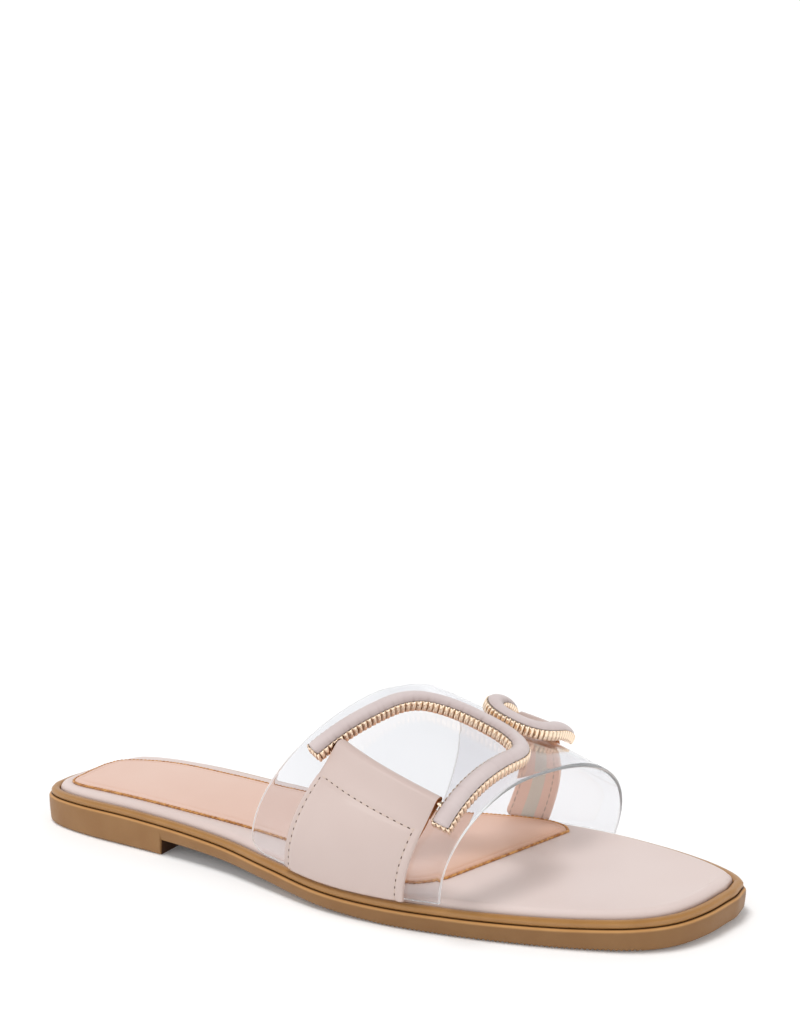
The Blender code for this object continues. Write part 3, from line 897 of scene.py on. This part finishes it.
# %% [markdown]
# Each side of the vamp carries a tab and a buckle, and the two sides differ: the outer buckle is
# large, the inner one small. Both are stiff and less bent than the vinyl, so their legs stand off
# it. One table holds both sides, in shares of the girth from that side's foot and of the run from
# rear to front, with the distances from the vinyl at some shares.

# %% Places on the vamp
SIDES = {
    "lateral": {
        "tab_foot": (0.235, 0.845),
        "tab_fold": (0.235, 0.845),
        "bar_share": (0.305, 0.215),
        "axis_run": (0.543, 0.5345),
        "half_run": (0.37, 0.334),
        "nose_share": 0.53,
        "nose_depth": 0.112,
        "leg_reach": 7.2,
        "stand_off": ((0.16, 6.0), (0.22, 4.5), (0.30, 2.8), (0.40, 0.9), (0.52, 0.0)),
    },
    "medial": {
        "tab_foot": (0.35, 0.60),
        "tab_fold": (0.375, 0.605),
        "bar_share": (0.258, 0.258),
        "axis_run": (0.49, 0.56),
        "half_run": (0.185, 0.186),
        "nose_share": 0.395,
        "nose_depth": 0.075,
        "leg_reach": 2.2,
        "stand_off": ((0.20, 1.3), (0.25, 1.7), (0.31, 1.5), (0.40, 0.2)),
    },
}


def over_vamp(side, share, run, lift):
    """Point over the vamp's outer face, by its share of the girth from one side's foot."""
    share, run, lift = np.broadcast_arrays(share, run, lift)
    girth_share = share if side == "lateral" else 1 - share
    face = read_grid(FACE, girth_share, run)
    return face + lift[..., None] * read_grid(FACE_NORMALS, girth_share, run)


def stand_off(side, share):
    """Distance of a buckle from the vinyl: a smooth curve through the side's table."""
    return smooth(SIDES[side]["stand_off"], np.asarray(share))


def between(pair, share):
    """Value at a share of the way between two ends."""
    return pair[0] + (pair[1] - pair[0]) * share


print("girth:", round(float(way_along(FACE[FACE_ROWS // 2])[-1]), 1), "mm at half run")

# %% [markdown]
# A tab is a strip of patent leather, about 1.5 mm thick with its turned edges. It runs up from the
# sole's edge and folds round the buckle's bar. Its section, paired points on the outer and the inner
# side, is carried across from its rear to its front edge. Near an edge the two sides draw together
# to a round lip, but the front end of the fold shows its raw cut edge. Seams pull the surface in,
# and a turned hem lifts the strip beside the front edge.

# %% Tab surface
TAB_THICKNESS = 1.5
FOLD_RADIUS = 2.0
FOLD_SKIN = 0.8
FOLD_RETURN = 5.0
FOLD_SWEEP = (115.0, -90.0)
FOLD_NECK = 9.5
TAIL_NECK = 8.5
NECK_CLEARANCE = 1.5
TAIL_POINTS = 46
NECK_POINTS = 12
FOLD_POINTS = 18
TAB_COLUMNS = 64
TAIL_POWER = 1.15
TAB_LIP = 0.75
LIP_POINTS = 6
TAB_CORNER = 3.0
SEAM_REAR = 1.7
SEAM_FRONT = 2.6
SEAM_BELOW_FOLD = 10.2
SEAM_PULL = 0.34
SEAM_HALF = 0.8
SEAM_END = 0.4
HEM_STEP = 0.3
HEM_RISE = 0.30
TURNED_SHARE = 0.36
CUT_BLEND = 6
PATENT, LINING, TURNED, RAW = range(4)


def tab_width(side):
    """Width of a tab at its foot, along the run."""
    foot = SIDES[side]["tab_foot"]
    return (foot[1] - foot[0]) * RUN_LENGTH


def tab_bar(side, across):
    """Share of the girth where the bar lies, at a place across the tab."""
    fold = between(SIDES[side]["tab_fold"], across)
    return between(SIDES[side]["bar_share"], fold)


def tab_point(side, across, share, lift):
    """Point on a tab: its run slides from the foot's to the fold's up to the neck, and it leans
    away from the vinyl with the square of its climb to the bar."""
    size = SIDES[side]
    foot = between(size["tab_foot"], across)
    fold = between(size["tab_fold"], across)
    bar = tab_bar(side, across)
    neck = bar - (size["leg_reach"] + NECK_CLEARANCE) / GIRTH
    run = foot + (fold - foot) * np.clip(share / neck, 0.0, 1.0)
    away = stand_off(side, bar) * np.clip(share / bar, 0.0, 1.0) ** 2
    return over_vamp(side, share, run, lift + away)


def seam_dip(side, across, share):
    """Depth of the surface at the tab's three seams, and the rise of its front hem."""
    width = tab_width(side)
    from_rear = across * width
    from_front = (1 - across) * width
    from_cross = (tab_bar(side, across) - share) * GIRTH - SEAM_BELOW_FOLD
    below = 1 / (1 + np.exp(-from_cross / SEAM_END))
    inside = 1 / (1 + np.exp(-(from_front - SEAM_FRONT) / HEM_STEP))
    lines = (
        below * np.exp(-(((from_rear - SEAM_REAR) / SEAM_HALF) ** 2)),
        below * np.exp(-(((from_front - SEAM_FRONT) / SEAM_HALF) ** 2)),
        inside * np.exp(-((from_cross / SEAM_HALF) ** 2)),
    )
    hem = HEM_RISE * below * (1 - inside)
    return hem - SEAM_PULL * np.max(lines, axis=0)


def bend(start, start_way, end, end_way, points):
    """Cubic curve between two places with given directions, without its two ends."""
    t = np.linspace(0.0, 1.0, points + 2)[1:-1, None]
    start, start_way, end, end_way = np.array([start, start_way, end, end_way])
    here = start * (1 + 2 * t) * (1 - t) ** 2 + start_way * t * (1 - t) ** 2
    return here + end * t**2 * (3 - 2 * t) - end_way * t**2 * (1 - t)


def fold_path(radius, neck, tail_lift):
    """Section beyond the tail, in millimetres from the bar: neck, arc round the bar and return."""
    lift = GAP + FOLD_RADIUS
    angle = np.radians(np.linspace(*FOLD_SWEEP, FOLD_POINTS))
    arc = np.stack([radius * np.cos(angle), lift + radius * np.sin(angle)], axis=1)
    leave = np.array([np.sin(angle[0]), -np.cos(angle[0])]) * neck
    ramp_up = bend((-neck, tail_lift), (neck, 0.0), arc[0], leave, NECK_POINTS)
    back = np.array([[-FOLD_RETURN, lift - radius]])
    return np.concatenate([ramp_up, arc, back])


def tab_grid(side):
    """Rings of paired outer and inner points, from the tab's rear edge to its front edge."""
    width = tab_width(side)
    lip = TAB_LIP * (1 - np.cos(np.linspace(0.0, np.pi / 2, LIP_POINTS)))
    inside = np.linspace(TAB_LIP, width - TAB_LIP, TAB_COLUMNS)[1:-1]
    place = np.concatenate([lip, inside, width - lip[::-1]])[:, None]
    across = place / width
    from_edge = np.minimum(place, width - place)
    plump = np.sqrt(1 - np.clip(1 - from_edge / TAB_LIP, 0.0, 1.0) ** 2)
    corner = np.clip(1 - place / TAB_CORNER, 0.0, 1.0)
    foot_rise = TAB_CORNER * (1 - np.sqrt(1 - corner**2)) / GIRTH
    bar = tab_bar(side, across)
    tail = np.linspace(0.0, 1.0, TAIL_POINTS) ** TAIL_POWER
    outer_share = foot_rise + (bar - FOLD_NECK / GIRTH - foot_rise) * tail
    inner_share = foot_rise + (bar - TAIL_NECK / GIRTH - foot_rise) * tail
    outer_lift = GAP + TAB_THICKNESS + seam_dip(side, across, outer_share)
    inner_lift = np.full_like(inner_share, GAP)
    sides = []
    for share, lift, radius, neck, tail_lift in (
        (outer_share, outer_lift, FOLD_RADIUS, FOLD_NECK, GAP + TAB_THICKNESS),
        (inner_share, inner_lift, FOLD_RADIUS - FOLD_SKIN, TAIL_NECK, GAP),
    ):
        fold = fold_path(radius, neck, tail_lift)
        fold_lift = np.repeat(fold[None, :, 1], len(across), axis=0)
        share = np.concatenate([share, bar + fold[:, 0] / GIRTH], axis=1)
        sides.append((share, np.concatenate([lift, fold_lift], axis=1)))
    (outer_share, outer_lift), (inner_share, inner_lift) = sides
    climb = (outer_share - foot_rise) * GIRTH
    round_foot = np.sqrt(1 - np.clip(1 - climb / TAB_LIP, 0.0, 1.0) ** 2)
    outer = tab_point(side, across, outer_share, outer_lift)
    inner = tab_point(side, across, inner_share, inner_lift)
    past_tail = np.arange(outer.shape[1]) - TAIL_POINTS
    front_half = across > 0.5
    cut = np.clip(past_tail / CUT_BLEND + 1, 0.0, 1.0) * front_half
    half = (outer - inner) / 2 * (np.maximum(plump, cut) * round_foot)[..., None]
    half = np.concatenate([half, 0.0 * half[-1:]])
    centre = (outer + inner) / 2
    centre = np.concatenate([centre, centre[-1:]])
    return np.concatenate([centre + half, (centre - half)[:, ::-1]], axis=1)


def tab_finishes(grid):
    """Finish of each face: patent outside, raw leather in the fold, lining between turned edges."""
    rings, points = grid.shape[:2]
    column = np.broadcast_to(np.arange(points), (rings - 1, points))
    across = np.linspace(0.0, 1.0, rings - 1)[:, None]
    turned = np.minimum(across, 1 - across) < TURNED_SHARE
    fold = FOLD_POINTS + NECK_POINTS + 1
    outside = column < points // 2
    tail_inside = column >= points // 2 + fold
    inside = np.where(tail_inside, np.where(turned, TURNED, LINING), RAW)
    finish = np.where(outside, PATENT, inside)
    finish[-1] = RAW
    return finish.ravel()


patent = new_finish(
    "patent_leather",
    screen(206, 187, 180),
    0.35,
    {"Coat Weight": 0.6, "Coat Roughness": 0.18, "Specular IOR Level": 0.45},
)
bloom = ((0.3, screen(198, 177, 170)), (0.75, screen(204, 185, 178)))
join(patent, ramp(patent, noise(patent, 25.0, detail=2.0), bloom), "Base Color")
emboss(patent, noise(patent, 260.0, detail=2.0), 0.0001, 0.15)
lining = new_finish("tab_lining", screen(226, 223, 212), 0.7, {"Specular IOR Level": 0.2})
emboss(lining, noise(lining, 2600.0, detail=1.0), 0.00008, 0.4)
turned_edge = new_finish("turned_edge", screen(246, 216, 201), 0.45, {"Specular IOR Level": 0.3})
emboss(turned_edge, noise(turned_edge, 400.0, detail=2.0), 0.0001, 0.3)
raw_leather = new_finish("raw_leather", screen(158, 102, 64), 0.8, {"Specular IOR Level": 0.2})
emboss(raw_leather, noise(raw_leather, 1500.0), 0.0001, 0.5)
for side in SIDES:
    grid = tab_grid(side)
    tab_patch = patch(grid, ring_columns=True, finish=tab_finishes(grid))
    finishes = [patent, lining, turned_edge, raw_leather]
    add_piece(f"patent_tab_{side}", [tab_patch], finishes, [f"tab_{side}"])

# %% [markdown]
# Seams are sewn along the tab's rear edge, across it below the fold and down beside the hem. One
# stitch is a small bent sausage, and between two stitches lies a dark sausage whose colour paints
# the shade in a needle hole. All stitches of a seam are made at once: a template is turned and
# moved by whole arrays of places and directions.

# %% Tab seams
STITCH_PITCH = 2.7
STITCH_LENGTH = 2.05
STITCH_WIDTH = 0.55
STITCH_HEIGHT = 0.42
STITCH_SINK = 0.06
HOLE_LENGTH = 1.25
HOLE_WIDTH = 0.5
HOLE_HEIGHT = 0.36
STITCH_ROWS = 9
STITCH_POINTS = 8
STITCH_POWER = 0.6
SEAM_POINTS = 90
SEAM_START = 0.006
THREAD, HOLE = range(2)


def sausage(length, width, height):
    """Rounded rod along the first axis: rings whose radius follows a half oval."""
    angle = np.linspace(0.0, np.pi, STITCH_ROWS)
    thick = np.sin(angle) ** STITCH_POWER
    turn = np.linspace(0.0, 2 * np.pi, STITCH_POINTS, endpoint=False)
    along = np.repeat(-length / 2 * np.cos(angle)[:, None], STITCH_POINTS, axis=1)
    wide = width / 2 * np.outer(thick, np.cos(turn))
    high = height / 2 * np.outer(thick, np.sin(turn))
    return np.stack([along, wide, high], axis=2)


def sew(line, above, template, pitch, start):
    """Copies of a template along a line, a pitch apart, as one grid a copy."""
    way = way_along(line)
    at = np.arange(start, way[-1], pitch)
    place = read_line(line, way, at)
    ahead = unit(read_line(np.gradient(line, way, axis=0), way, at))
    up = unit(read_line(above, way, at))
    axes = np.stack([ahead, np.cross(up, ahead), up], axis=1)
    return place[:, None, None, :] + template @ axes[:, None]


def tab_seams(side, face):
    """Lines of the three seams on a tab's outer or inner face, with the face's normals."""
    width = tab_width(side)
    rear = np.full(SEAM_POINTS, SEAM_REAR / width)
    front = np.full(SEAM_POINTS, 1 - SEAM_FRONT / width)
    crossing = np.linspace(rear[0], front[0], SEAM_POINTS)
    drop = SEAM_BELOW_FOLD / GIRTH
    climb = np.linspace(SEAM_START, 1.0, SEAM_POINTS)
    seams = []
    for across, share in (
        (rear, climb * (tab_bar(side, rear) - drop)),
        (crossing, tab_bar(side, crossing) - drop),
        (front, climb * (tab_bar(side, front) - drop)),
    ):
        if face == "outer":
            lift = GAP + TAB_THICKNESS + seam_dip(side, across, share) - STITCH_SINK
        else:
            lift = GAP + STITCH_SINK
        line = tab_point(side, across, share, lift)
        seams.append((line, tab_point(side, across, share, lift + 1.0) - line))
    return seams


thread = new_finish("tab_thread", screen(206, 186, 174), 0.55, {"Specular IOR Level": 0.3})
emboss(thread, noise(thread, 3000.0, detail=1.0), 0.00006, 0.5)
# Painted shade: the needle holes are dark sausages between the stitches.
needle_hole_shade = new_finish("needle_hole_shade", screen(84, 62, 50), 0.8)
stitch = sausage(STITCH_LENGTH, STITCH_WIDTH, STITCH_HEIGHT)
hole = sausage(HOLE_LENGTH, HOLE_WIDTH, HOLE_HEIGHT)
for side in SIDES:
    sewn = []
    for face, template, start, finish in (
        ("outer", stitch, STITCH_PITCH / 2, THREAD),
        ("outer", hole, STITCH_PITCH, HOLE),
        ("inner", stitch, STITCH_PITCH / 2, THREAD),
    ):
        for line, above in tab_seams(side, face):
            copies = sew(line, above, template, STITCH_PITCH, start)
            sewn += [patch(copy, ring_columns=True, finish=finish) for copy in copies]
    add_piece(f"tab_seams_{side}", sewn, [thread, needle_hole_shade])

# %% [markdown]
# A buckle is a cast gold tray bent to a D, with a padded cord lying in it. Both follow one route
# over the vamp: a rear leg, a nose that is half a superellipse, and a front leg. At every point of
# the route three directions, along, across and up, carry the sections of tray and cord.

# %% Buckle route
NOSE_POWER = 2.5
NOSE_POINTS = 241
LEG_POINTS = 80
ROUTE_STEP = 0.15
END_LENGTH = 1.3


def frame_run(side, share, offset):
    """Run of a frame's point: its offset, -1 to 1, from an axis that slants from bar to nose."""
    size = SIDES[side]
    bar = between(size["bar_share"], size["axis_run"][0])
    step = (share - bar) / (size["nose_share"] - bar)
    return between(size["axis_run"], step) + offset * between(size["half_run"], step)


def frame_route(side):
    """Shares and runs of a frame's middle line: rear leg, superellipse nose and front leg."""
    size = SIDES[side]
    angle = np.linspace(0.0, np.pi, NOSE_POINTS)
    nose_start = size["nose_share"] - size["nose_depth"]
    nose = nose_start + size["nose_depth"] * squared(np.sin(angle), NOSE_POWER)
    nose_offset = -squared(np.cos(angle), NOSE_POWER)
    legs = []
    for end in (-1, 1):
        bar = between(size["bar_share"], size["axis_run"][0] + end * size["half_run"][0])
        leg_end = bar - size["leg_reach"] / GIRTH
        legs.append(np.linspace(leg_end, nose_start, LEG_POINTS, endpoint=False))
    share = np.concatenate([legs[0], nose, legs[1][::-1]])
    straight = np.ones(LEG_POINTS)
    offset = np.concatenate([-straight, nose_offset, straight])
    return share, frame_run(side, share, offset)


def route_frame(side, trim):
    """Even points of the route, shortened at both ends, with their along, across and up directions."""
    share, run = frame_route(side)
    way = way_along(over_vamp(side, share, run, stand_off(side, share)))
    count = int((way[-1] - 2 * trim) / ROUTE_STEP)
    at = np.linspace(trim, way[-1] - trim, count)
    share, run = np.interp(at, way, share), np.interp(at, way, run)
    away = stand_off(side, share)
    middle = over_vamp(side, share, run, away)
    up = over_vamp(side, share, run, away + 1.0) - middle
    along = unit(np.gradient(middle, axis=0))
    across = unit(np.cross(along, up))
    return middle, along, across, np.cross(across, along)


print("outer buckle route:", len(route_frame("lateral", END_LENGTH)[0]), "points")

# %% [markdown]
# The tray's outline is followed all the way round: along one wall, round an end, back along the
# other wall and round the other end. Ribs are a wave along that outline, so they pass round the
# corners too. Rows go from the middle of the bottom out, up the ribbed wall, over the rim and down
# into the channel. A plain round bar joins the two legs inside the tab's fold.

# %% Gold trays
FRAME_HALF = 3.5
END_POWER = 6.0
END_POINTS = 400
RIB_PITCH = 1.85
RIB_DEPTH = 0.6
RIB_ROUNDING = 0.65
GAP_POWER = 1.6
GOLD = (1.0, 0.80, 0.61, 1.0)
GOLD_GAP_SHADE = (0.22, 0.11, 0.055, 1.0)
TRAY_ROWS = (
    # half width, end reach, lift, share of the rib depth
    (3.10, 0.85, 0.30, 0.0),
    (3.42, 1.26, 0.34, 0.7),
    (3.64, 1.48, 0.60, 1.0),
    (3.74, 1.58, 1.20, 1.0),
    (3.76, 1.60, 1.90, 1.0),
    (3.70, 1.54, 2.70, 1.0),
    (3.56, 1.40, 3.40, 1.0),
    (3.40, 1.24, 3.76, 1.0),
    (3.20, 1.04, 3.94, 0.95),
    (3.04, 0.88, 3.90, 0.8),
    (2.94, 0.78, 3.50, 0.45),
    (2.80, 0.66, 1.10, 0.0),
)
BAR_RADIUS = 0.9
BAR_ROWS = 28
BAR_POINTS = 14


def tray_outline(count):
    """For each point round the tray: its route point, its share of the half width and of the end."""
    angle = np.linspace(0.0, np.pi, END_POINTS)
    turn = squared(np.cos(angle), END_POWER)
    reach = squared(np.sin(angle), END_POWER)
    end, _ = evenly(np.stack([FRAME_HALF * turn, END_LENGTH * reach], axis=1), ROUTE_STEP)
    turn, reach = end[1:-1, 0] / FRAME_HALF, end[1:-1, 1] / END_LENGTH
    route = np.arange(count)
    at = np.concatenate([route, np.full(len(turn), count - 1), route[::-1], np.zeros(len(turn), int)])
    wide = np.concatenate([np.ones(count), turn, -np.ones(count), -turn])
    ahead = np.concatenate([np.zeros(count), reach, np.zeros(count), -reach])
    return at, wide, ahead


def tray_grid(side):
    """Rows from the bottom's middle line out, up the ribbed wall, over the rim and into the channel.

    The painted shade beside them is deepest in the gaps between the ribs."""
    middle, along, across, up = route_frame(side, END_LENGTH)
    at, wide, ahead = tray_outline(len(middle))
    aside = FRAME_HALF * wide[:, None] * across[at]
    onward = END_LENGTH * ahead[:, None] * along[at]
    way = way_along(middle[at] + aside + onward, ring=True)
    ribs = round(way[-1] / RIB_PITCH)
    swell = np.abs(np.sin(np.pi * ribs * way[:-1] / way[-1])) ** RIB_ROUNDING
    rows = []
    for half, reach, lift, share in TRAY_ROWS:
        groove = RIB_DEPTH * share * (1 - swell)
        aside = ((half - groove) * wide)[:, None] * across[at]
        onward = ((reach - groove) * ahead)[:, None] * along[at]
        rows.append(middle[at] + aside + onward + lift * up[at])
    bottom = middle[at] + TRAY_ROWS[0][2] * up[at]
    floor_line = middle[at] + TRAY_ROWS[-1][2] * up[at]
    depth = np.array([0.0, *(row[3] for row in TRAY_ROWS), 0.0])
    return np.stack([bottom, *rows, floor_line]), np.outer(depth, (1 - swell) ** GAP_POWER)


def bar_grid(side):
    """Round bar through the tab's fold, from leg to leg, closed to a point at both ends."""
    size = SIDES[side]
    turn = np.linspace(0.0, 2 * np.pi, BAR_POINTS, endpoint=False)
    across = np.linspace(-1.0, 1.0, BAR_ROWS)
    across = np.concatenate([across[:1], across, across[-1:]])[:, None]
    radius = np.full(BAR_ROWS + 2, BAR_RADIUS)
    radius[[0, -1]] = 0.0
    run = size["axis_run"][0] + size["half_run"][0] * across
    share = between(size["bar_share"], run) + radius[:, None] / GIRTH * np.cos(turn)
    lift = GAP + FOLD_RADIUS + radius[:, None] * np.sin(turn)
    return over_vamp(side, share, run, lift + stand_off(side, share))


gold = new_finish("champagne_gold", GOLD, 0.16, {"Metallic": 1.0})
# Painted shade: the gold turns dark brown in the gaps between the ribs.
darken(gold, GOLD, GOLD_GAP_SHADE)
join(gold, span(gold, noise(gold, 500.0, detail=2.0), 0.1, 0.24), "Roughness")
for side in SIDES:
    grid, gaps = tray_grid(side)
    cast = [patch(grid, ring_columns=True, shade=gaps), patch(bar_grid(side), ring_columns=True)]
    add_piece(f"gold_tray_{side}", cast, [gold], [f"buckle_{side}"])

# %% [markdown]
# The cord in the tray is a strip of matte leather wrapped round a soft core. It fills the channel
# and stands above the rim, and its skin is gathered in small folds, which follow the cord's length
# in its UV map. The section is an oval carried along the route and drawn together at the ends.

# %% Padded cords
CORD_HALF = 2.95
CORD_LOW = 1.75
CORD_HIGH = 5.5
CORD_NIP = 0.42
NIP_LIFT = (3.45, 4.0)
CORD_POWER = 2.05
CORD_POINTS = 22
CORD_END = 0.5
CORD_GATHER = 0.03
GATHER_PITCHES = (1.9, 2.7, 4.3)
CORD_TRIM = 0.6
# Painted shade: in the dip behind the rim, and on the flanks, more on the one inside the D.
CORD_NIP_SHADE = 0.6
CORD_NIP_SHADE_FADE = 4
CORD_FLANK = 0.65
CORD_INSIDE = 0.6
CORD_OUTSIDE = 0.18


def cord_grid(side):
    """Oval section along the route, nipped in below the rim, with a wave of gathers and round ends.

    The painted shade beside it lies where the cord dips behind the rim and on its flanks, more on the
    one inside the D, and follows the gathers."""
    middle, along, across, up = route_frame(side, CORD_TRIM)
    way = way_along(middle)
    from_end = np.minimum(way, way[-1] - way)
    plump = np.sqrt(1 - np.clip(1 - from_end / CORD_END, 0.0, 1.0) ** 2)
    tuck = sum(np.cos(2 * np.pi * way / pitch) for pitch in GATHER_PITCHES) / len(GATHER_PITCHES)
    tuck = np.clip(tuck, 0.0, 1.0)
    gather = 1 - CORD_GATHER * tuck
    wide, high = oval(CORD_POINTS, CORD_POWER)
    centre, half = (CORD_HIGH + CORD_LOW) / 2, (CORD_HIGH - CORD_LOW) / 2
    lift = centre + np.outer(plump * gather, half * high)
    free = np.clip((lift - NIP_LIFT[0]) / (NIP_LIFT[1] - NIP_LIFT[0]), 0.0, 1.0)
    aside = np.outer(plump * gather, wide) * (CORD_HALF - CORD_NIP * (1 - free))
    points = middle[:, None] + aside[..., None] * across[:, None] + lift[..., None] * up[:, None]
    nip_shade = (1 - free) * (CORD_NIP_SHADE + (1 - CORD_NIP_SHADE) * tuck[:, None]) * plump[:, None] ** CORD_NIP_SHADE_FADE
    inward = wide * np.sign((middle.mean(axis=0) - middle[0]) @ across[0])
    inside = CORD_INSIDE * np.clip(inward, 0.0, 1.0) ** 2
    outside = CORD_OUTSIDE * np.clip(-inward, 0.0, 1.0) ** 2
    flank_shade = np.outer(CORD_FLANK + (1 - CORD_FLANK) * tuck, inside + outside)
    return points, np.maximum(nip_shade, flank_shade)


cord_leather = new_finish(
    "padded_cord", screen(206, 192, 190), 0.55, {"Specular IOR Level": 0.3, "Sheen Weight": 0.15}
)
cord_stops = ((0.3, screen(202, 187, 185)), (0.75, screen(210, 197, 195)))
cord_tone = ramp(cord_leather, noise(cord_leather, 90.0, detail=3.0), cord_stops)
# Painted shade: the cord turns brown where its points carry shade.
darken(cord_leather, cord_tone, screen(112, 80, 68))
folds = noise(cord_leather, 500.0, detail=2.0, stretch=(1.0, 0.2, 1.0), source="UV")
emboss(cord_leather, folds, 0.00012, 0.4)
for side in SIDES:
    grid, cord_shade = cord_grid(side)
    cord_patch = patch(grid, ring_columns=True, shade=cord_shade)
    name = f"padded_cord_{side}"
    cord = add_piece(name, [cord_patch], [cord_leather], [f"inlay_{side}"])
